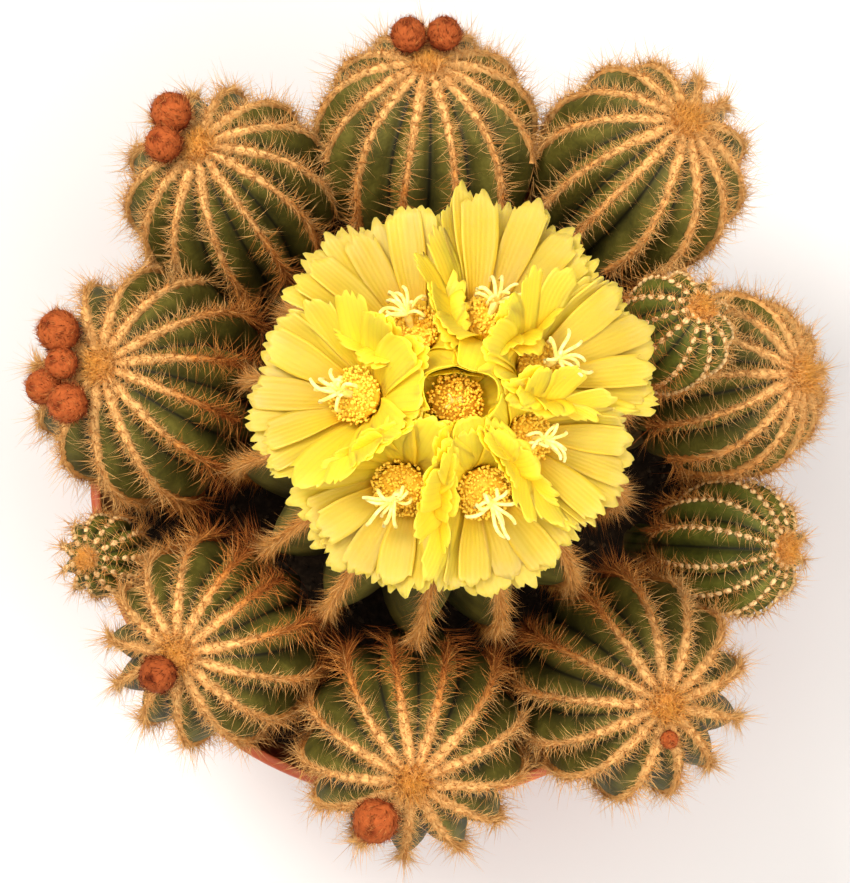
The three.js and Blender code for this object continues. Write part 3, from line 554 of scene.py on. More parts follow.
class Stem:
    """One ribbed stem. Stations run along it: -1 at its foot, 0 at its neck's end, 1 at its widest, 2 at
    its tip. Its own frame has +X pointing away from the mother's axis and Z measured from the rim."""

    def __init__(self, name, bearing, reach, rise, girth, lean, lean_bearing, root_reach, ribs, turn,
                 root_rise=STEM_FOOT, neck=NECK, young=False, buds=()):
        self.name, self.girth, self.ribs, self.neck = name, girth, ribs, neck
        self.young, self.buds, self.bearing = young, buds, bearing
        self.turned = turn_z(bearing)
        self.widest = np.array([reach, 0, rise], float)
        self.tipward = leaning(math.radians(lean), math.radians(lean_bearing - bearing))
        self.foot = np.array([root_reach, 0, root_rise], float)
        length = size_of(self.widest - self.foot)
        self.belly = min(0.9, BELLY * girth / length)
        self.bend = self.widest - self.tipward * NECK_BEND * length
        self.start = math.radians(turn)
        self.seed = sum(ord(c) * (i + 1) for i, c in enumerate(name))
        self.phases = np.random.default_rng(self.seed).uniform(0, TURN, ribs)

    def line(self, station):
        s = np.asarray(station, float)[..., None]
        share = np.where(s < 0, (s + 1) * (1 - self.belly), 1 - (1 - s) * self.belly)
        share = np.minimum(share, 1)
        low = self.foot + (self.bend - self.foot) * share
        high = self.bend + (self.widest - self.bend) * share
        rise = np.sin(np.maximum(s - 1, 0) * math.pi / 2) * TIP_SQUAT * self.girth
        return low + (high - low) * share + rise * self.tipward

    def radius(self, station):
        s = np.asarray(station, float)
        below = np.clip(1 - s, 0, 1)
        low = self.girth * (self.neck + (1 - self.neck) * np.sqrt(1 - below ** 2))
        return np.where(s > 1, self.girth * np.cos((np.maximum(s, 1) - 1) * math.pi / 2), low)

    def directions(self, station):
        s = np.asarray(station, float)
        along = unit(self.line(np.minimum(s + 0.02, 1)) - self.line(np.minimum(s, 1) - 0.02))
        along = np.where((s > 1)[..., None], self.tipward, along)
        side = unit(np.array([0, 1, 0]) - along * along[..., 1:2])
        return along, side, np.cross(side, along)

    def rib_angle(self, rib, station):
        """The crest's angle round the stem. A rib wanders a little on its way to the tip."""
        step = TURN / self.ribs
        phase = self.phases[np.asarray(rib, int) % self.ribs]
        return self.start + rib * step + 0.07 * step * np.sin(2.2 * station + phase)

    def surface(self, station, angle, depth=0):
        _, side, out = self.directions(station)
        radius = (self.radius(station) * (1 - depth))[..., None]
        return self.line(station) + radius * between(out, side, angle)

    def crest(self, rib, station):
        """Points on a rib's crest, with its outward, upward and sideways directions."""
        angle = self.rib_angle(rib, station)
        after, before = (self.surface(s, self.rib_angle(rib, s))
                         for s in (station + SMALL_STEP, station - SMALL_STEP))
        up = unit(after - before)
        _, side, out = self.directions(station)
        radial = between(out, side, angle)
        outward = unit(radial - up * np.sum(radial * up, -1, keepdims=True))
        return self.surface(station, angle), outward, up, np.cross(up, outward)

    def stations(self, rib, step, low, high, offset=0.0):
        """Stations along a rib's crest that are step apart in millimetres."""
        dense = np.linspace(low, high, 240)
        spots = self.surface(dense, self.rib_angle(rib, dense))
        run = running(size_of(np.diff(spots, axis=0)))
        return np.interp(np.arange(offset * step, run[-1], step), run, dense)

    def lowest(self, rib):
        """The station where a rib's wool starts. Ribs that face the mother are bare low down."""
        if self.name == "mother":
            return 0.3
        facing = 1 if self.young else math.cos(self.rib_angle(rib, 1.0))
        return 0.2 if facing > -0.15 else 0.35 if facing > -0.55 else 0.6

    def place(self, points):
        return points @ self.turned.T + (0, 0, RIM_HEIGHT)

    def turned_way(self, ways):
        return ways @ self.turned.T

    def balls(self):
        """Balls that fill the stem: their centres and radii."""
        rings = np.arange(16) * 0.16 - 0.6
        centres, radii = self.line(rings), self.radius(rings)
        walls = np.min(np.hypot(size_of(centres[:, None] - centres), radii), 1)
        return self.place(centres), np.minimum(walls, size_of(centres - self.line(2.0)))


MOTHER = Stem("mother", 0, 0, MOTHER_RISE, 56, 0, 0, 0, 14, 8, neck=0.5)
# Name, bearing, reach, rise, radius, lean, the lean's bearing, the foot's reach, ribs and turn. A bud has its
# angle round the stem, its angle off the tip and its radius.
OFFSETS = [
    Stem("offset_1", 90, 97, 40, 33.5, 32, 96, 72, 13, 0, buds=((-52, 9, 5.8), (56, 9, 6))),
    Stem("offset_2", 53.5, 109.5, 45.3, 31.5, 24, 40, 76, 13, 10),
    Stem("offset_3", 25.5, 78.5, 71, 16.8, 24, 36, 60, 11, 0, root_rise=44, neck=0.5, young=True),
    Stem("offset_4", 14, 97, 33, 27.8, 40, 1, 66, 13, 4),
    Stem("offset_5", -15, 99, 26, 20.8, 40, -8, 72, 12, 0, young=True),
    Stem("offset_6", -48.5, 91.5, 39, 33.2, 18, -48, 66, 13, 6, buds=((-42, 14, 3),)),
    Stem("offset_7", -92.5, 86, 38.5, 33, 23, -100, 62, 13, 0, buds=((-46, 19, 7.4),)),
    Stem("offset_8", -138.5, 84.5, 36, 30.6, 24, -152, 62, 13, 12, buds=((20, 8, 6.2),)),
    Stem("offset_9", -163.5, 101, 19.5, 12.2, 24, -155, 84, 11, 0, neck=0.4, young=True),
    Stem("offset_10", 166, 85, 39, 34.6, 26, 176, 62, 13, 5,
         buds=((-31, 18, 7), (13, 12, 5.4), (35, 22.5, 6), (74, 18, 6.6))),
    Stem("offset_11", 127, 100, 40, 30.6, 24, 140, 72, 13, 8, buds=((0, 14, 6.8), (70, 12, 6.2))),
]
STEMS = [MOTHER, *OFFSETS]


def areole_step(stem):
    """The distance of neighbouring areoles along a rib."""
    return YOUNG_AREOLE_STEP if stem.young else AREOLE_STEP


def make_stem(stem, material):
    """The ribbed body: a crest and a sharp furrow at each rib, with a low swelling under each areole."""
    rows = np.concatenate([np.linspace(-1, 0, 6)[:-1], np.linspace(0, 1, 15)[:-1],
                           1 + np.linspace(0, 0.985, 24)])
    rib = np.arange(stem.ribs * RIB_COLUMNS) / RIB_COLUMNS
    station = rows[:, None] + 0 * rib
    nearest = np.round(rib)
    off_crest = rib - nearest
    angle = stem.rib_angle(nearest, station) + off_crest * TURN / stem.ribs
    # The wander of two neighbouring ribs is blended halfway between them.
    other = nearest + np.sign(off_crest)
    share = np.abs(off_crest)
    beside = stem.rib_angle(other, station) - (other - rib) * TURN / stem.ribs
    angle = angle * (1 - share) + beside * share
    furrow = 2 * share
    depth = RIB_DEPTH * smoothstep(-1, 0.4, station) * furrow ** RIB_SHARPNESS
    swelling = (YOUNG_CHIN if stem.young else CHIN) * (1 - furrow) ** 2
    run = np.pi * stem.girth / 2 * (station - 1)
    depth = depth - swelling * np.cos(TURN * run / areole_step(stem))
    points = stem.place(stem.surface(station, angle, depth))
    points += 0.25 * ripple(points, 14, stem.seed)[..., None] * unit(points - stem.place(stem.line(1.0)))
    body = Body()
    body.skin(points, *stem.place(stem.line([-1, 1.99])), station=np.append(station, [-1, 2]),
              furrow=np.append(np.broadcast_to(furrow, station.shape), [0, 0]))
    slot = "young_skin" if stem.young else "skin"
    body.piece(stem.name + "_ribbed", material, slot, stem.name + "_stem")


def keep_clear(points, walls, margin):
    """True for each point that stands outside every ball by the margin."""
    clear = np.ones(len(points), bool)
    for centres, radii in walls:
        clear &= np.all(size_of(points[:, None] - centres) > radii + margin, axis=1)
    return clear


def rust_and_shade_of(stem, points):
    """How rust-brown and dark wool and spines are, partly their own colour and partly painted shade: most
    deep down between the mother and its offsets.
    """
    height = points[:, 2] - RIM_HEIGHT
    if stem is MOTHER:
        return 0.2 + 0.6 * smoothstep(58, 26, height)
    reach = size_of(points[:, :2])
    deep = smoothstep(58, 18, height)
    return np.clip(0.85 * smoothstep(88, 52, reach) + 0.45 * deep * smoothstep(115, 80, reach), 0, 1)


def lowest_clear(stem, rib, walls):
    """The station where a rib's wool can start without touching another stem."""
    station = np.linspace(stem.lowest(rib), 1.2, 40)
    spot, outward, _, _ = stem.crest(rib, station)
    spot = stem.place(spot + outward * 2)
    touching = np.flatnonzero(~keep_clear(spot, walls, 0.4) | near_rim(spot))
    return station[min(touching[-1] + 1, len(station) - 1)] if len(touching) else station[0]


def wool_strip(body, stem, rib, walls, random):
    """A lumpy line of wool along a rib's crest, with fine hairs."""
    mother = stem is MOTHER
    wider, higher = MOTHER_WOOL if mother else (1, 1)
    station = stem.stations(rib, WOOL_STEP, lowest_clear(stem, rib, walls), WOOL_END)
    spot, outward, up, side = stem.crest(rib, station)
    rows = len(station)
    room = TURN * stem.radius(station) / stem.ribs
    merging = 1 + 0.8 * smoothstep(1.4, 1.8, station) * (not mother)  # the bands merge at the tip
    half = np.minimum(WOOL_WIDTH * wider * merging, 0.95 * room) / 2
    lump = 0.5 + 0.5 * np.cos(TURN * np.arange(rows) * WOOL_STEP / areole_step(stem))
    half = half * (0.82 + 0.2 * lump) * random.uniform(0.88, 1.12, rows)
    high = WOOL_HEIGHT * higher * (0.74 + 0.26 * lump) * random.uniform(0.85, 1.15, rows)
    sway = random.normal(0, 0.12, rows)
    section = [(-1, -0.85), (-0.68, 0.5), (0, 1), (0.68, 0.5), (1, -0.85)]
    k = len(section)
    points = stem.place(np.stack([spot + side * (half * a + sway)[:, None] + outward * (high * b)[:, None]
                                  for a, b in section], 1))
    points = (points + random.normal(0, 0.07, points.shape)).reshape(-1, 3)
    last = len(points) - k
    tris = [[0, i + 1, i] for i in range(1, k - 1)]
    tris += [[last, last + i, last + i + 1] for i in range(1, k - 1)]
    tone = 0.02 + 0.72 * rust_and_shade_of(stem, points) + random.normal(0, 0.04, len(points))
    tone += 0.16 * np.repeat(smoothstep(1.7, 1.2, station), k)
    # The strip's low edges, where it meets the skin, get painted shade; the rest of its shade differs at
    # random.
    shade = np.repeat(random.uniform(0, 0.5, rows), k) + 0.3 * np.tile([1, 0.4, 0, 0.4, 1], rows)
    body.add(points, grid_faces(rows, k)[:, [0, 3, 2, 1]], tris, tone=tone, shade=shade)
    n = int(rows * WOOL_STEP * FUZZ)
    pick = random.integers(0, rows - 1, n)
    part = random.random((n, 1))
    lean = random.uniform(-1, 1, (n, 1))

    def spread(value):
        value = value.reshape(rows, -1)
        return value[pick] * (1 - part) + value[pick + 1] * part
    outward, up, side = unit(spread(outward)), unit(spread(up)), unit(spread(side))
    roots = spread(spot) + side * spread(half) * 0.85 * lean
    roots = roots + outward * spread(high) * (0.85 - 0.8 * lean ** 2)
    if mother:
        way = outward * 0.5 - up * 0.8 + side * lean * 0.55 + random.normal(0, 0.18, (n, 3))
        length = random.uniform(3, 7.5, n)
    else:
        way = outward * 0.7 + side * lean * 1.3 + up * random.normal(-0.1, 0.55, (n, 1))
        way = way + random.normal(0, 0.35, (n, 3))
        length = random.uniform(1.0, 4.0, n)
    roots, way = stem.place(roots), stem.turned_way(unit(way))
    rust = rust_and_shade_of(stem, roots)
    length *= 1 - 0.35 * rust * (not mother) + 0.3 * smoothstep(1.1, 1.5, station[pick])
    keep = ~near_rim(roots + way * length[:, None])
    keep &= (size_of(roots[:, :2]) > BARE_REACH) | (not mother)
    roots, way, length, rust = (value[keep] for value in (roots, way, length, rust))
    # The mother's hairs get more gold and less dark than the offsets': painted light against the shade of the
    # flowers above them.
    fibres(body, roots, way, length, 0.2 if mother else 0.16, random,
           tone=np.clip(0.04 + 0.75 * rust + random.normal(0, 0.12, len(roots)), 0, 1),
           shade=random.uniform(0, 0.3 if mother else 0.6, len(roots)), gilt=0.3 * mother)


def areole_pads(body, stem, rib, random):
    """The separate round pads of wool on a young stem."""
    odd = rib % 2
    station = stem.stations(rib, YOUNG_AREOLE_STEP, 0.1 + 0.1 * odd, SPINE_END, 0.5 * odd)
    spot, outward, up, side = stem.crest(rib, station)
    size = np.minimum(0.85, 0.36 * TURN * stem.radius(station) / stem.ribs)
    size = size * random.uniform(0.85, 1.12, len(station))
    frames = np.stack([stem.turned_way(way) * size[:, None] * share
                       for way, share in ((side, 1), (up, 1.6), (outward, 0.85))], -1)
    shape, *faces = ball_shape(7, 4)
    shape = shape + 0.1 * np.random.default_rng(3).normal(size=shape.shape)
    places = stem.place(spot + outward * 0.25)
    rust = rust_and_shade_of(stem, places)
    copies(body, (shape, *faces), frames, places, tone=0.3 * rust,
           shade=random.uniform(0, 0.2, len(station)), pale=1 - rust)
    pick = np.repeat(np.arange(len(station)), 8)
    way = unit(outward[pick] + 0.9 * random.normal(size=(len(pick), 3)))
    way = np.where(np.sum(way * outward[pick], -1, keepdims=True) < 0, -way, way)
    roots = stem.place(spot[pick] + way * size[pick][:, None] * 0.75)
    fibres(body, roots, stem.turned_way(way), random.uniform(0.5, 1.0, len(pick)), 0.14, random,
           tone=0.3 * rust_and_shade_of(stem, roots), shade=random.uniform(0, 0.3, len(pick)), pale=0.6)


def rib_spines(body, stem, rib, walls, random):
    """Fine curved spines that spread from each areole to both sides of the rib."""
    mother = stem is MOTHER
    start = random.uniform(0.4, 1.6)
    station = stem.stations(rib, areole_step(stem) / 2, stem.lowest(rib), SPINE_END, start)
    inner = smoothstep(0.25, 0.7, rust_and_shade_of(stem, stem.place(stem.crest(rib, station)[0])))
    # Areoles that face the mother stand twice as close.
    keep = (np.arange(len(station)) % 2 == 0) | ((inner > 0.4) & (not mother))
    count = SPINES_EACH + FINE_SPINES_EACH
    kind = np.tile(np.arange(count), keep.sum())
    station, inner = np.repeat(station[keep], count), np.repeat(inner[keep], count)
    spot, outward, up, side = stem.crest(rib, station)
    n = len(station)
    central = kind % 4 == 0
    hand = np.where(kind % 2 == 0, 1, -1) * np.where(random.random(n) < 0.9, 1, -1)
    splay = np.radians(np.where(central, random.uniform(8, 42, n), random.uniform(48, 84, n)))
    swing = np.radians(random.normal(5, 42, n))
    first = unit(between(outward, between(side * hand[:, None], up, swing), splay))
    second = unit(first + random.normal(0, 0.2, (n, 3)) + up * 0.12 - outward * 0.1)
    if mother:
        first = unit(first * 0.6 - up * 0.9 + outward * 0.3)
    size = SPINE_LENGTH * (0.72 if stem.young else 1) * (1 + 0.45 * inner * (not mother))
    length = size * random.uniform(0.45, 1.22, n) * np.where(central, 1.12, 1)
    length *= (0.8 + 0.2 * smoothstep(0, 1, station)) * np.where(station > 1.6, 0.85, 1)
    roots = spot + outward * 0.6 + up * random.uniform(-0.8, 0.8, (n, 1))
    roots = stem.place(roots + side * random.uniform(-0.5, 0.5, (n, 1)))
    first, second = stem.turned_way(first), stem.turned_way(second)
    for share in (0.72, 0.5):
        tips = roots + (first + second) / 2 * length[:, None]
        length = np.where(~keep_clear(tips, walls, 0.4) | near_rim(tips), length * share, length)
    tips = roots + (first + second) / 2 * length[:, None]
    keep = keep_clear(tips, walls, 0) & ~near_rim(tips)
    if mother:
        keep &= size_of(tips - (0, 0, PAD_TOP + OPEN_HEIGHT)) > FLOWERS_REACH
    fine = (kind >= SPINES_EACH)[keep]
    roots, first, second, length = (value[keep] for value in (roots, first, second, length))
    rust = rust_and_shade_of(stem, roots + first * length[:, None] / 2)
    tone = np.clip(0.08 + 0.75 * rust + random.normal(0, 0.14, len(roots)), 0, 1)
    shade = random.uniform(0, 0.75, len(roots)) ** 1.5
    thick = ~fine
    spikes(body, roots[thick], first[thick], second[thick], length[thick],
           SPINE_WIDTH * random.uniform(0.75, 1.15, thick.sum()), tone=tone[thick], shade=shade[thick])
    fibres(body, roots[fine], unit(first + second)[fine], length[fine], 0.8 * SPINE_WIDTH, random,
           tone=tone[fine], shade=shade[fine])


def near_rim(points):
    """True for points inside or just over the pot's rim, or in the soil."""
    reach = size_of(points[:, :2])
    height = points[:, 2] - RIM_HEIGHT
    in_rim = (height < 0.5) & (reach > RIM_RADIUS - 6) & (reach < RIM_RADIUS + 1)
    in_wall = (height < -COLLAR_HEIGHT * 0.4) & (reach > RIM_RADIUS - 12) & (reach < RIM_RADIUS + 1)
    return in_rim | in_wall | ((height < 0.8 - SOIL_BELOW_RIM) & (reach < RIM_RADIUS))


def crown_wool(body, stem, walls, random):
    """The woolly cap over a stem's tip, with bristles that cross over it."""
    mother = stem is MOTHER
    wide = 15 if mother else min(5.2, 0.22 * stem.girth)
    high = 2.4 if mother else 2.0
    tip = stem.line(2.0)
    along, side, out = stem.directions(1.999)
    axes = np.stack([out, side, along])
    rings, sides = 7, 22
    level = np.linspace(0, 1, rings)[:, None]
    spread = wide * (1.12 - level ** 1.4) * (1 + 0.06 * random.normal(size=(rings, sides)))
    lift = (high + 1.2) * np.sin(level * math.pi / 2) * (1 + 0.08 * random.normal(size=(rings, sides)))
    lift = lift - 1.2 - 0.016 * spread ** 2
    points = stem.place(tip + polar(spread, around(sides), lift) @ axes)
    body.skin(points, stem.place(tip - along * 0.5), stem.place(tip + along * (high + 0.1)),
              tone=0.7 if mother else 0.25, gilt=0 if mother else 0.3,
              shade=np.append(random.uniform(0, 0.4, rings * sides), [0.1, 0.1]))
    n = MOTHER_CROWN_HAIRS if mother else CROWN_HAIRS
    radius = wide * np.sqrt(random.random(n))
    bearing = random.uniform(0, TURN, n)
    roots = tip + polar(radius, bearing, high * 0.7 - 0.02 * radius ** 2) @ axes
    outward = polar(1, bearing, 0) @ axes
    way = along * random.uniform(0.35, 1.1, (n, 1)) + outward * random.normal(0.05, 0.6, (n, 1))
    way = unit(way + random.normal(0, 0.4, (n, 3)))
    length = random.uniform(3.0, 7.0, n) * (0.65 if stem.young else 1)
    roots, way = stem.place(roots), stem.turned_way(way)
    keep = keep_clear(roots + way * length[:, None], walls, 0.2)
    fibres(body, roots[keep], way[keep], length[keep], 0.24, random,
           tone=random.uniform(0.05, 0.4, n)[keep] + 0.4 * mother,
           shade=random.uniform(0, 0.5, n)[keep], gilt=(not mother) * (0.9 - 0.8 * radius / wide)[keep])


def make_spines(stem, walls, material):
    """All wool and spines of one stem."""
    random = np.random.default_rng(stem.seed + 7)
    body = Body()
    for rib in range(stem.ribs):
        if stem.young:
            areole_pads(body, stem, rib, random)
        else:
            wool_strip(body, stem, rib, walls, random)
        rib_spines(body, stem, rib, walls, random)
    crown_wool(body, stem, walls, random)
    body.piece(stem.name + "_bristles", material, "golden_spines", stem.name + "_spines")


# Buds

def bud_places(stem):
    """Centre, radius and outward direction of each bud, in the plant's frame."""
    for turn, off_tip, radius in stem.buds:
        station, angle = 2 - off_tip / 90, math.radians(turn)
        up = unit(stem.surface(station + SMALL_STEP, angle) - stem.surface(station - SMALL_STEP, angle))
        _, side, out = stem.directions(station)
        radial = between(out, side, angle)
        outward = unit(radial - up * np.sum(radial * up))
        centre = stem.surface(station, angle) + outward * (radius + CROWN_HEIGHT + GAP)
        yield stem.place(centre), radius, stem.turned_way(outward)


def make_buds(stem, material):
    """Woolly buds: an egg-shaped core with lumps in spirals, combed with hair towards a dark tip."""
    random = np.random.default_rng(stem.seed + 21)
    body = Body()
    dark = BUD_DARKNESS.get(stem.name, 0)
    for centre, radius, outward in bud_places(stem):
        radius *= BUD_FULLNESS
        axes = frames_on(outward[None], random)[0].T
        level = np.linspace(0.02, 0.985, 17)[:, None] * math.pi
        angle = around(26)
        lumps = np.cos(5 * angle + 6 * level) * np.cos(6 * angle - 8 * level)
        size = radius * (0.97 + 0.07 * lumps * np.sin(level))
        local = polar(size * np.sin(level), angle, -size * np.cos(level) * np.where(level > 1.6, 1.04, 1))
        dimple = smoothstep(0.45 * radius, 0, size_of(local[..., :2])) * (local[..., 2] > 0)
        local[..., 2] -= dimple * 0.16 * radius
        # Painted shade: the half of the bud that faces the stem is darker.
        low = np.append(smoothstep(0.1, -0.9, local[..., 2] / radius), [1, 0.4])
        tip = np.append(dimple, [0, 1])
        ends = np.array([[0, 0, -0.98], [0, 0, 0.86]]) * radius @ axes + centre
        body.skin(local @ axes + centre, *ends, tone=0.45 + 0.4 * low + 0.4 * tip,
                  shade=random.uniform(0, 0.45, len(low)) + dark)
        n = int(BUD_HAIRS * radius)
        high = 1 - 2 * random.random(n) ** 0.85
        bearing = random.uniform(0, TURN, n)
        normal = polar(np.sqrt(1 - high ** 2), bearing, high)
        comb = unit(np.array([0, 0, 1]) - normal * high[:, None])
        comb = comb + 0.8 * np.sin(3 * bearing + 2 * high)[:, None] * np.cross(normal, comb)
        way = unit(normal * 0.42 + comb * 0.8 + random.normal(0, 0.2, (n, 3)))
        roots = (normal * radius * 0.95) @ axes + centre
        lengths = random.uniform(0.25, 0.6, n) * radius
        # The hairs on the side that faces the stem get the same painted shade.
        tone = 0.38 + dark + 0.4 * smoothstep(0.2, -0.8, high) + random.normal(0, 0.28, n)
        fibres(body, roots, way @ axes, lengths, 0.2, random, tone=np.clip(tone, 0, 1),
               shade=random.uniform(0, 0.6, n))
    body.piece(stem.name + "_bud_wool", material, "rust_wool", stem.name + "_buds")


# Flowers. Each is drawn with its axis along +Z and +X pointing away from the mother's axis.

# Bearing, foot, tilt, size and how long the outer petals are; the last is the middle one
FLOWERS = [(174, 14, 36, 1, 0.85), (118, 12, 33, 1, 1.04), (68, 14, 36, 1, 1.12), (24, 14, 36, 1, 1.01),
           (-21, 12, 34, 0.9, 0.95), (-70, 13, 34, 1, 0.8), (-122, 14, 36, 1, 0.79), (0, 0, 0, 1, 1)]
CROWN_TOP = RIM_HEIGHT + MOTHER_RISE + TIP_SQUAT * MOTHER.girth + GAP + CROWN_HEIGHT
PAD_TOP = CROWN_TOP + GAP + PAD_THICKNESS


class Flower:
    """One flower's place in the cluster, and its borders with the flowers beside it."""

    def __init__(self, index):
        self.bearing, foot, tilt, self.size, self.reach = FLOWERS[index]
        self.middle = index == len(FLOWERS) - 1
        self.random = np.random.default_rng(500 + index)
        self.turned = turn_z(self.bearing)
        self.matrix = self.turned @ turn_y(tilt) * self.size
        drop = foot ** 2 / CROWN_DOME + TUBE_SINK
        self.foot = polar(foot, math.radians(self.bearing), PAD_TOP - drop)
        self.walls = [] if self.middle else self.find_walls()

    def find_walls(self):
        """The borders to the neighbouring flowers: hand, bearing and half the angle between the two."""
        bearings = [row[0] for row in FLOWERS[:-1] if row[0] != self.bearing]
        walls = []
        for hand in (-1, 1):
            half = min((hand * (b - self.bearing)) % 360 for b in bearings) / 2
            walls.append((hand, math.radians(self.bearing + hand * half), half))
        return walls

    def place(self, points):
        return points @ self.matrix.T + self.foot

    def crowded(self, root, level):
        """True for an upper petal rooted where there is no room for it, beside the next flower."""
        turn = abs(math.degrees(math.atan2(math.sin(root), math.cos(root))))
        return level > 0 and not self.middle and 80 - 8 * level < turn < 120 + 8 * level

    def press(self, points, margin):
        """Moves points that are past a border back to it and up, softly, as petals press on each other."""
        soft = 0.35

        def pushed(value):
            return value + soft * np.logaddexp(0, -value / soft)
        if not self.middle:
            own = self.turned[:, 0]
            points = points + pushed(6 - points @ own)[..., None] * own
        for hand, at, _ in self.walls:
            wall = hand * polar(1, at + math.pi / 2, 0)
            over = hand * leaning_side(at)
            push = pushed(points @ wall - hand * stray(points, at) + margin)[..., None]
            points = points + push * (np.array([0, 0, over * BORDER_LEAN]) - wall) / (1 + BORDER_LEAN ** 2)
        reach = size_of(points[..., :2])[..., None]
        flat = points * (1, 1, 0) / np.maximum(reach, 0.5)
        border = middle_border(points)[..., None]
        if self.middle:
            return points - pushed(reach - border + margin) * flat
        push = pushed(border + MIDDLE_CLEARANCE + margin - reach) / (1 + MIDDLE_LEAN ** 2)
        return points + push * (flat + (0, 0, MIDDLE_LEAN))


def leaning_side(at):
    """Towards which side the border at this bearing leans: 1 or -1."""
    return 1 if math.sin(9 * at) > 0 else -1


def stray(points, at):
    """How far the border between two flowers strays from its plane, towards rising bearings."""
    reach = size_of(points[..., :2])
    high = points[..., 2] - PAD_TOP - 13 - 46 * np.exp(-reach / 11)  # above the petals' usual height there
    most = OVERLAP * (0.5 + 0.95 * smoothstep(26, 44, reach))
    lean = leaning_side(at) * most * np.tanh(BORDER_LEAN * high / most)
    return smoothstep(9, 24, reach) * (lean + 1.2 * np.sin(0.24 * reach + 5 * at))


def middle_border(points):
    """The radius of the border round the middle flower, towards each point."""
    bearing = np.arctan2(points[..., 1], points[..., 0])
    high = np.maximum(points[..., 2] - PAD_TOP - OPEN_HEIGHT, 0)
    waves = 1.5 * np.cos(2 * bearing) + 0.6 * np.sin(3 * bearing + 1) + 0.4 * np.sin(5 * bearing)
    return MIDDLE_REACH - MIDDLE_LEAN * high + waves


# Petal layers: count, length, degrees off the axis at the foot and tip, half width, root height, root radius
LAYERS = [(14, 33.5, 50, 68, 4.8, 0.6, 6.0), (13, 33.8, 46, 67, 4.8, 1.6, 5.7),
          (12, 33, 42, 66, 4.7, 2.6, 5.3)]
MIDDLE_LAYERS = [(9, 19, 48, 22, 5.0, 0.9, 5.2), (8, 17, 40, 12, 4.8, 2.0, 4.6)]
# Round a flower from the outward side to the crown's middle: the angle where a petal is rooted. Petals
# beside a border stand up along it and lean on the next flower's, and the rear ones fold over the
# crown's middle.
ROUND = (0, 62, 102, 140, 180)


def corner(half):
    """Where a petal beside a border heads, and how much longer than the others it is."""
    at = math.radians(half - 3)
    out, over = CLUSTER_REACH * math.cos(at) - THROAT_REACH, CLUSTER_REACH * math.sin(at)
    return math.degrees(math.atan2(over, out)), math.hypot(out, over) / (CLUSTER_REACH - THROAT_REACH)


def petal_path(flower, root, layer, wobble):
    """Where a petal heads, its length, its tilt at foot and tip, the power of its bend, and how far to the
    rear it stands, which paints it with light as a brighter warm yellow.
    """
    _, length, rise, spread, _, height, _ = layer
    turn = math.degrees(math.atan2(math.sin(root), math.cos(root)))
    if flower.middle:
        return root, length * (1.03 - 0.34 * (wobble - 0.5)), rise, spread + 44 * (wobble - 0.5), 1, 1
    half = flower.walls[int(turn > 0)][2]
    aim, longer = corner(half)
    stand = (24 / half) ** 2 * (0.25 + 0.45 * height)
    where = np.interp(abs(turn), ROUND, range(5))

    def at(*stops):
        return np.interp(where, range(5), stops)
    aim = at(0, aim, aim + 22, 125, 180)
    length *= at(flower.reach, 0.9 * longer * flower.reach, 0.86, 0.9, 0.93)
    rise = at(rise, rise, rise - 8, 32, 40)
    spread = at(spread, spread - 3 * stand, spread - 14 * stand, 84, 114 - 4 * height)
    spread += (wobble - 0.5) * at(8, 8, 10, 20, 40)
    length *= 1 + at(0, 0, 0.05, 0.16, 0.2) * (wobble - 0.5)
    return (math.radians(math.copysign(aim, turn)), length, rise, spread, at(0.8, 0.8, 1, 1.5, 2),
            at(0, 0.2, 0.55, 0.9, 1))


def petal_grid(flower, root, layer, wobble):
    """The petal's middle surface as rows from foot to tip, in the plant's frame, before pressing."""
    aim, length, rise, spread, power, rear_glow = petal_path(flower, root, layer, wobble[3])
    half, height, radius = layer[4:]
    length = length * wobble[0]
    v = np.linspace(0, 1, PETAL_ROWS)
    u = np.linspace(-1, 1, PETAL_COLUMNS)
    teeth = wobble[4:]
    reach = v[:, None] * (1 - v[:, None] ** 7 * (teeth + 0.03 * np.abs(u) ** 2.4))
    tilt = np.radians(rise + (spread - rise) * reach ** power)
    fine = np.linspace(0, 1, 60)
    angles = np.radians(rise + (spread - rise) * fine ** power)
    flat, tall = (running((wave[1:] + wave[:-1]) / 2) / (len(fine) - 1) * length
                  for wave in (np.sin(angles), np.cos(angles)))
    outward, side = polar(1, aim, 0), polar(1, aim + math.pi / 2, 0)
    start = polar(radius, root, TUBE_LENGTH + height)
    wide = half * wobble[1] * (1 + 0.3 * rear_glow * (not flower.middle))
    wide = wide * (0.42 + 0.58 * smoothstep(-0.05, 0.66, reach)) * (1 - 0.24 * smoothstep(0.84, 1.04, reach))
    bow = wide * (0.24 * (1 - reach) + 0.1) * u ** 2 + wide * wobble[2] * u
    bow = bow + 0.25 * np.sin(3 * u + 9 * wobble[3]) * reach ** 2 - 0.3 * np.abs(u) ** 0.7 * reach
    out = np.interp(reach, fine, flat) - bow * np.cos(tilt)
    up = np.interp(reach, fine, tall) + bow * np.sin(tilt)
    points = start + out[..., None] * outward + (wide * u)[..., None] * side + up[..., None] * (0, 0, 1)
    return flower.place(points), np.broadcast_to(u, reach.shape), reach, rear_glow


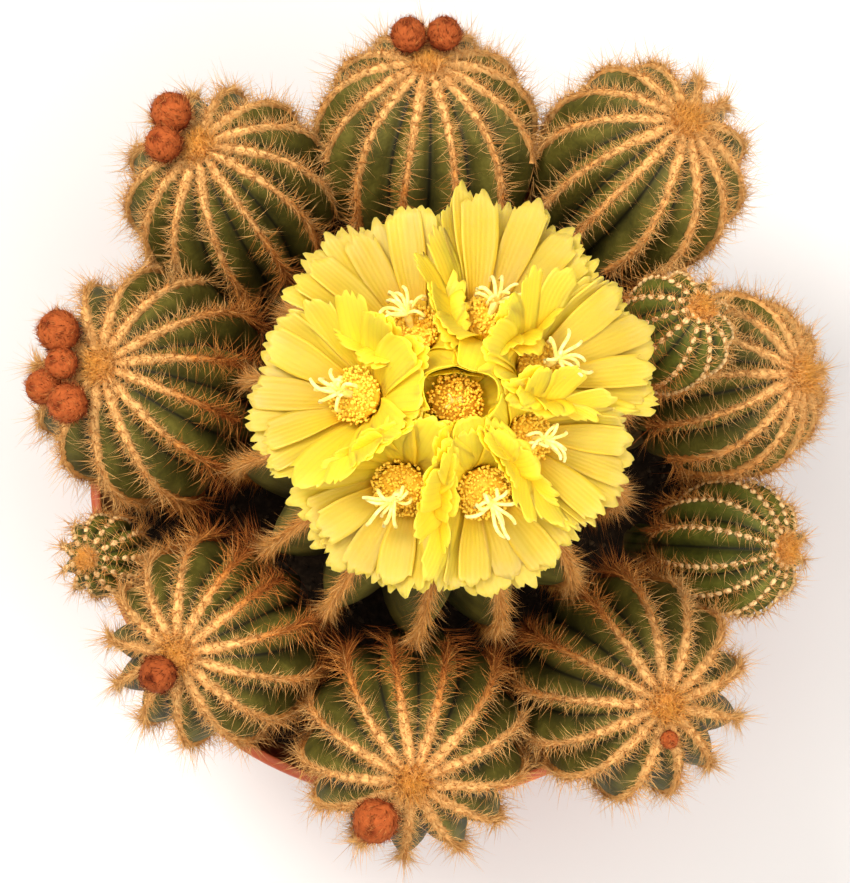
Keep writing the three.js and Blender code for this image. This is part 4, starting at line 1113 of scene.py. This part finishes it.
def add_petal(body, flower, root, layer, level, order):
    """One petal, pressed against its neighbours: a thin closed sheet with a toothed tip."""
    random = flower.random
    teeth = 0.08 * np.abs(np.linspace(-1, 1, PETAL_COLUMNS) - random.uniform(-0.4, 0.4)) ** 1.2
    for notch in random.integers(-1, 2, 3) + (2, 5, 8):
        teeth[notch - 1:notch + 2] += random.uniform(0.02, 0.11) * np.array([0.15, 1, 0.15])
    wobble = np.concatenate([[random.uniform(0.95 - 0.04 * level, 1.04), random.uniform(0.9, 1.06),
                              random.uniform(-0.16, 0.16), random.random()], teeth])
    loose = 1.5 * (order * 0.38 % 1) if flower.middle else 0  # the half-open flower's petals stand apart
    margin = 0.15 + 0.4 * level + 0.13 * (order % 3) + loose
    points, u, along, rear_glow = petal_grid(flower, root, layer, wobble)
    points = flower.press(points, margin)
    rows, columns = points.shape[:2]
    normal = unit(np.cross(np.gradient(points, axis=1), np.gradient(points, axis=0)))
    thick = PETAL_THICKNESS / 2 * (1 - 0.55 * np.abs(u) ** 2) * (1.15 - 0.6 * along)
    upper, lower = points + normal * thick[..., None], points - normal * thick[..., None]
    count = rows * columns
    face = grid_faces(rows, columns, False)
    edge = np.concatenate([np.arange(columns), np.arange(1, rows) * columns + columns - 1,
                           (rows - 1) * columns + np.arange(columns - 2, -1, -1),
                           np.arange(rows - 2, 0, -1) * columns])
    after = np.roll(edge, -1)
    rim = np.stack([edge, edge + count, after + count, after], -1)
    quads = np.concatenate([face, face[:, ::-1] + count, rim])
    body.add(np.stack([upper, lower]), quads, along=np.tile(along.ravel(), 2),
             across=np.tile(u.ravel() + 3 * order, 2), tone=rear_glow)


def make_petals(index, material):
    """All petals of one flower."""
    flower = Flower(index)
    body = Body()
    for level, layer in enumerate(MIDDLE_LAYERS if flower.middle else LAYERS):
        count = layer[0]
        for i in range(count):
            root = (i + 0.5 * (level % 2) + flower.random.uniform(-0.1, 0.1)) * TURN / count
            root += REAR_CROWDING * math.sin(root) * (not flower.middle)
            if not flower.crowded(root, level):
                add_petal(body, flower, root, layer, level, i)
    body.piece(f"flower_{index + 1}_corolla", material, "petals", f"flower_{index + 1}_petals")


def make_stamens(index, material):
    """A dense dome of stamens: fine filaments with a grain of pollen sacs at the end of each."""
    flower = Flower(index)
    random = np.random.default_rng(700 + index)
    body = Body()
    n = STAMENS
    share = np.sqrt(random.uniform(0.02, 1, n))
    angle = np.arange(n) * GOLDEN_ANGLE + random.normal(0, 0.1, n)
    wide = 7.6 if flower.middle else 8
    foot = TUBE_LENGTH + 1.2
    top = TUBE_LENGTH + (14.7 if flower.middle else 10.4) - 2.6 * share ** 2 + random.normal(0, 0.55, n)
    radius = wide * share
    roots, tips = polar(0.62 * radius, angle, foot), polar(radius, angle, top)
    tips[:, :2] += random.normal(0, 0.18, (n, 2))
    roots, tips = flower.place(roots), flower.place(tips)
    way = unit(tips - roots)
    lengths = size_of(tips - roots)
    fibres(body, tips, -way, lengths, 0.4, random, tone=0.8 if flower.middle else 0.25)
    frames = frames_on(unit(way + random.normal(0, 0.5, (n, 3))), random)
    sizes = np.stack([random.uniform(0.38, 0.52, n), random.uniform(0.36, 0.48, n),
                      random.uniform(0.55, 0.75, n)], -1)
    copies(body, ball_shape(5, 3), frames * sizes[:, None, :], tips,
           tone=np.clip(random.normal(0.1, 0.15, n) + (0.2 if flower.middle else 0), 0, 1))
    # The funnel of closed filaments under them
    core = Body()
    rise = 4 if flower.middle else 0.8
    lathe(core, [(0, foot - 0.6), (4.2, foot - 0.6), (4.9, foot + 1.5), (0.8 * wide, foot + 4.8 + rise),
                 (0.55 * wide, foot + 6.8 + rise), (0, foot + 7.8 + rise)], 24)
    body.add(flower.place(core.points[0]), core.quads[0], core.tris[0], tone=0.35)
    body.piece(f"flower_{index + 1}_anthers", material, "stamens", f"flower_{index + 1}_stamens")


def tube_along(body, path, radii, sides):
    """A round tube along a path of points, closed at both ends."""
    along = unit(np.gradient(path, axis=0))
    side = unit(np.cross(along, np.array([0.31, 0.17, 0.94])))
    other = np.cross(along, side)
    ring = between(side[:, None], other[:, None], around(sides))
    body.skin(path[:, None] + radii[:, None, None] * ring, path[0], path[-1] + along[-1] * radii[-1] * 0.6)


def make_stigma(index, material):
    """The cream style and its curling lobes."""
    flower = Flower(index)
    random = np.random.default_rng(900 + index)
    body = Body()
    foot = TUBE_LENGTH + 4.3
    top = foot + (6.5 if flower.middle else 10.5)
    style = polar(0.15 * np.sin(np.linspace(0, 3, 6)), 0, np.linspace(foot, top, 6))
    tube_along(body, flower.place(style), np.array([0.8, 0.8, 0.85, 0.95, 1.15, 0.9]) * flower.size, 10)
    for i in range(LOBES):
        bearing = (i + random.uniform(-0.25, 0.25)) * TURN / LOBES
        length = random.uniform(6.2, 9.6) * (0.55 if flower.middle else 1.16)
        steps = np.linspace(0, 1, 9)
        bend = np.radians(random.uniform(10, 60) + random.uniform(40, 220) * steps ** 2.5)
        sway = bearing + random.normal(0, 1.1) * steps ** 1.5
        sway = sway + 0.5 * np.sin(5 * steps + 9 * random.random()) * steps
        ways = leaning(bend, sway)
        path = (0, 0, top - 0.4) + running(ways[1:]) * length / 8
        curl = random.uniform(-0.6, 0.6) * steps ** 3
        path += polar(curl, bearing - math.pi / 2, 0)
        path[:, 0] += 0.2 * length * steps ** 2 * (not flower.middle)
        radii = np.array([0.56, 0.56, 0.55, 0.54, 0.53, 0.52, 0.52, 0.52, 0.44]) * flower.size
        tube_along(body, flower.place(path), radii, 7)
    body.piece(f"flower_{index + 1}_style", material, "stigma", f"flower_{index + 1}_stigma")


def make_tubes(material):
    """The flower tubes and the pad of wool they grow from, with hair and bristles."""
    body = Body()
    random = np.random.default_rng(77)
    pad = Body()
    profile = [(0, CROWN_TOP + GAP - 1), (PAD_RADIUS, CROWN_TOP + GAP - 2.2),
               (PAD_RADIUS + 0.5, CROWN_TOP - 1.6)]
    profile += [(PAD_RADIUS * math.cos(t), CROWN_TOP - 1.4 + (PAD_THICKNESS + 1.6) * math.sin(t))
                for t in np.linspace(0.15, 1.5, 9)]
    lathe(pad, profile + [(0, PAD_TOP)], 48)
    points = pad.points[0] + 0.5 * ripple(pad.points[0], 3.5, 5)[:, None] * (0, 0, 1)
    body.add(points, pad.quads[0], pad.tris[0], tone=0.7, shade=random.uniform(0, 0.5, len(points)))
    n = PAD_HAIRS
    radius, bearing = PAD_RADIUS * np.sqrt(random.random(n)), random.uniform(0, TURN, n)
    roots = polar(radius, bearing, PAD_TOP - 0.3 - radius ** 2 / 95)
    outward = leaning(random.uniform(0.2, 1.2, n), bearing + random.normal(0, 0.6, n))
    fibres(body, roots, outward, random.uniform(1.5, 4, n), 0.3, random,
           tone=random.uniform(0.35, 0.9, n), shade=random.uniform(0, 0.5, n))
    for index in range(len(FLOWERS)):
        flower = Flower(index)
        tube = Body()
        height = np.linspace(0, 1, 10)
        swell = TUBE_FOOT_RADIUS + (TUBE_TOP_RADIUS - TUBE_FOOT_RADIUS) * height + 0.5 * np.sin(height * 7)
        brim = TUBE_LENGTH + 0.6
        lathe(tube, [(0, -0.5), *zip(swell, height * TUBE_LENGTH), (5.9, brim), (0, brim)], 30)
        points = tube.points[0]
        out = unit(points * (1, 1, 0))
        points = points + 0.35 * ripple(points, 2.6, 40 + index)[:, None] * out
        body.add(flower.place(points), tube.quads[0], tube.tris[0], tone=0.62,
                 shade=random.uniform(0, 0.6, len(points)))
        n = TUBE_HAIRS
        share, bearing = random.random(n), random.uniform(0, TURN, n)
        wide = TUBE_FOOT_RADIUS + (TUBE_TOP_RADIUS - TUBE_FOOT_RADIUS) * share
        roots = flower.place(polar(wide, bearing, share * TUBE_LENGTH))
        way = polar(random.uniform(0.3, 0.9, n), bearing, 1) + random.normal(0, 0.3, (n, 3))
        way = unit(unit(way) @ flower.matrix.T)
        fibres(body, roots, way, random.uniform(1.5, 3.5, n), 0.3, random,
               tone=random.uniform(0.3, 0.8, n), shade=random.uniform(0, 0.5, n))
        n = TUBE_BRISTLES
        upward = unit(way[:n] + flower.matrix[:, 2] / flower.size * 0.5)
        spikes(body, roots[:n], way[:n], upward, random.uniform(4, 7, n), 0.28,
               tone=random.uniform(0.4, 0.9, n), shade=random.uniform(0, 0.5, n))
        make_sepals(body, flower, random)
    body.piece("flower_tube_wool", material, "rust_wool", "flower_tubes")


def make_sepals(body, flower, random):
    """Short pointed scales under the petals."""
    for i in range(SEPALS):
        angle = i * TURN / SEPALS + 0.2
        v = np.linspace(0, 1, 6)
        tilt = np.radians(34 - 8 * v)
        length = random.uniform(6.5, 9)
        flat = TUBE_TOP_RADIUS - 0.3 + running(np.sin(tilt[1:])) * length / 5
        tall = TUBE_LENGTH - 2 + running(np.cos(tilt[1:])) * length / 5
        half = 1.5 * (1 - v) ** 0.6 + 0.08
        out, side = polar(1, angle, 0), polar(1, angle + math.pi / 2, 0)
        middle = polar(flat, angle, tall)
        section = [(-1, 0), (0, 0.3), (1, 0), (0, -0.25)]
        points = np.stack([middle + side * (half * a)[:, None] + out * b for a, b in section], 1)
        tris = [[0, 2, 1], [0, 3, 2], [20, 21, 22], [20, 22, 23]]
        body.add(flower.place(points), grid_faces(6, 4), tris, tone=0.3, shade=0.2)


# Soil

def make_soil(material):
    """The potting mix: a crumbly bed that fills the pot, with loose grains and stones."""
    random = np.random.default_rng(31)
    body = Body()
    top = RIM_HEIGHT - SOIL_BELOW_RIM
    wall_top = RIM_HEIGHT - COLLAR_HEIGHT
    edge = RIM_RADIUS - COLLAR_STEP - 1 - POT_WALL - 0.4
    low = FOOT_RADIUS - POT_WALL - 0.6
    surface = edge * np.linspace(0.985, 0.03, 34)
    radius = np.concatenate([[low * 0.5, low, edge, edge], surface])
    height = np.concatenate([[POT_WALL + GAP, POT_WALL + GAP, wall_top, top - 0.8], 0 * surface + top])
    points = polar(radius[:, None], around(110), height[:, None])
    points[4:, :, 2] += 0.7 * ripple(points[4:], 9, 2) + 0.5 * ripple(points[4:], 3.2, 4)
    body.skin(points, [0, 0, POT_WALL + GAP], [0, 0, top])
    n = GRIT
    reach = (edge - 1.5) * np.sqrt(random.uniform(0.2, 1, n))
    bearing = random.uniform(0, TURN, n)
    places = polar(reach, bearing, top)
    places[:, 2] += 0.7 * ripple(places, 9, 2) + 0.2
    shape, *faces = ball_shape(5, 3)
    shape = shape * (1 + 0.22 * np.random.default_rng(8).normal(size=(len(shape), 1)))
    frames = frames_on(unit(random.normal(size=(n, 3))), random) \
        * (random.uniform(0.5, 1.7, (n, 1, 1)) * random.uniform(0.6, 1.2, (n, 1, 3)))
    copies(body, (shape, *faces), frames, places, stone=random.random(n) < 0.72, shade=random.random(n))
    body.piece("potting_mix", material, "potting_mix", "soil")


# Camera, floor and light

CAMERA_AIM = (-2.7, 0, RIM_HEIGHT + 71)
CAMERA_DISTANCE = 900
CAMERA_TILT = (4, 8)  # degrees off straight down: towards -X and -Y
SENSOR = 36
LENS = SENSOR * 3103 / 850  # the photograph is 850 pixels wide and taken from about 3103 pixels away
# Name, place, aim, size, watts and colour
LIGHTS = [("key", (-0.55, 0.35, 1.25), (0, 0, 0.15), 0.5, 16, (1.0, 0.92, 0.76)),
          ("fill", (0.9, -0.7, 0.9), (0, 0, 0.1), 0.9, 9, (1.0, 0.93, 0.8)),
          ("overhead", (0.05, -0.2, 1.4), (0, 0, 0.1), 1.2, 14, (1.0, 0.94, 0.8))]
FLOOR_HALF = 3000
FLOOR_DROP = 0.2  # so that the floor doesn't touch the pot's foot


def make_camera():
    """The photograph's view, from almost straight above."""
    tilt = [math.tan(math.radians(degrees)) for degrees in CAMERA_TILT]
    back = Vector((-tilt[0], -tilt[1], 1)).normalized()
    data = bpy.data.cameras.new("camera")
    data.sensor_fit, data.sensor_width, data.lens = "HORIZONTAL", SENSOR, LENS
    data.clip_start, data.clip_end = 0.05, 20
    camera = add_object("camera", data)
    camera.location = (Vector(CAMERA_AIM) + back * CAMERA_DISTANCE) * METRE
    camera.rotation_mode = "QUATERNION"
    right = Vector((0, 1, 0)).cross(back).normalized()
    camera.rotation_quaternion = Matrix((right, back.cross(right), back)).transposed().to_quaternion()
    bpy.context.scene.camera = camera


def make_light(name, place, aim, size, watts, colour):
    """A round soft light at a place, turned to an aim, both in metres."""
    data = bpy.data.lights.new(name, "AREA")
    data.shape, data.size, data.energy, data.color = "DISK", size, watts, colour
    light = add_object(name, data)
    light.location = place
    light.rotation_mode = "QUATERNION"
    light.rotation_quaternion = (Vector(aim) - Vector(place)).to_track_quat("-Z", "Y")


def make_stage():
    """The pale floor, the lights and the soft light from all sides."""
    floor = Body()
    corners = ((-1, -1), (1, -1), (1, 1), (-1, 1))
    floor.add([(x * FLOOR_HALF, y * FLOOR_HALF, -FLOOR_DROP) for x, y in corners], [[0, 1, 2, 3]])
    plane = add_object("floor", floor.mesh("floor"))
    plane.data.materials.append(floor_material())
    for light in LIGHTS:
        make_light(*light)
    world = bpy.data.worlds.new("studio")
    world.use_nodes = True
    background = world.node_tree.nodes["Background"]
    background.inputs["Color"].default_value = (1.0, 0.94, 0.82, 1)
    background.inputs["Strength"].default_value = 0.4
    bpy.context.scene.world = world
    bpy.context.scene.view_settings.view_transform = "Standard"


# The plant in its pot

make_camera()
make_stage()
make_pot(pot_material())
make_soil(soil_material())

grown_skin = skin_material("cactus_skin", (54, 52, 16), (84, 80, 28), (110, 104, 44))
young_skin = skin_material("young_cactus_skin", (56, 60, 16), (86, 90, 28), (114, 114, 46))
golden = wool_material("golden_wool", (246, 196, 128), (228, 154, 76), (176, 92, 36), (84, 36, 14))
rust = wool_material("rust_wool", (214, 140, 80), (182, 94, 46), (136, 58, 26), (72, 26, 12))

filled = {stem.name: stem.balls() for stem in STEMS}
for stem in STEMS:
    make_stem(stem, young_skin if stem.young else grown_skin)
    walls = [filled[other.name] for other in STEMS if other is not stem]
    buds = [(centre, radius) for centre, radius, _ in bud_places(stem)]
    if buds:
        walls.append((np.array([b[0] for b in buds]), np.array([b[1] for b in buds]) - 0.6))
    make_spines(stem, walls, golden)
    if stem.buds:
        make_buds(stem, rust)

make_tubes(rust)
yellow, gold, cream = petal_material(), stamen_material(), stigma_material()
for index in range(len(FLOWERS)):
    make_petals(index, yellow)
    make_stamens(index, gold)
    make_stigma(index, cream)
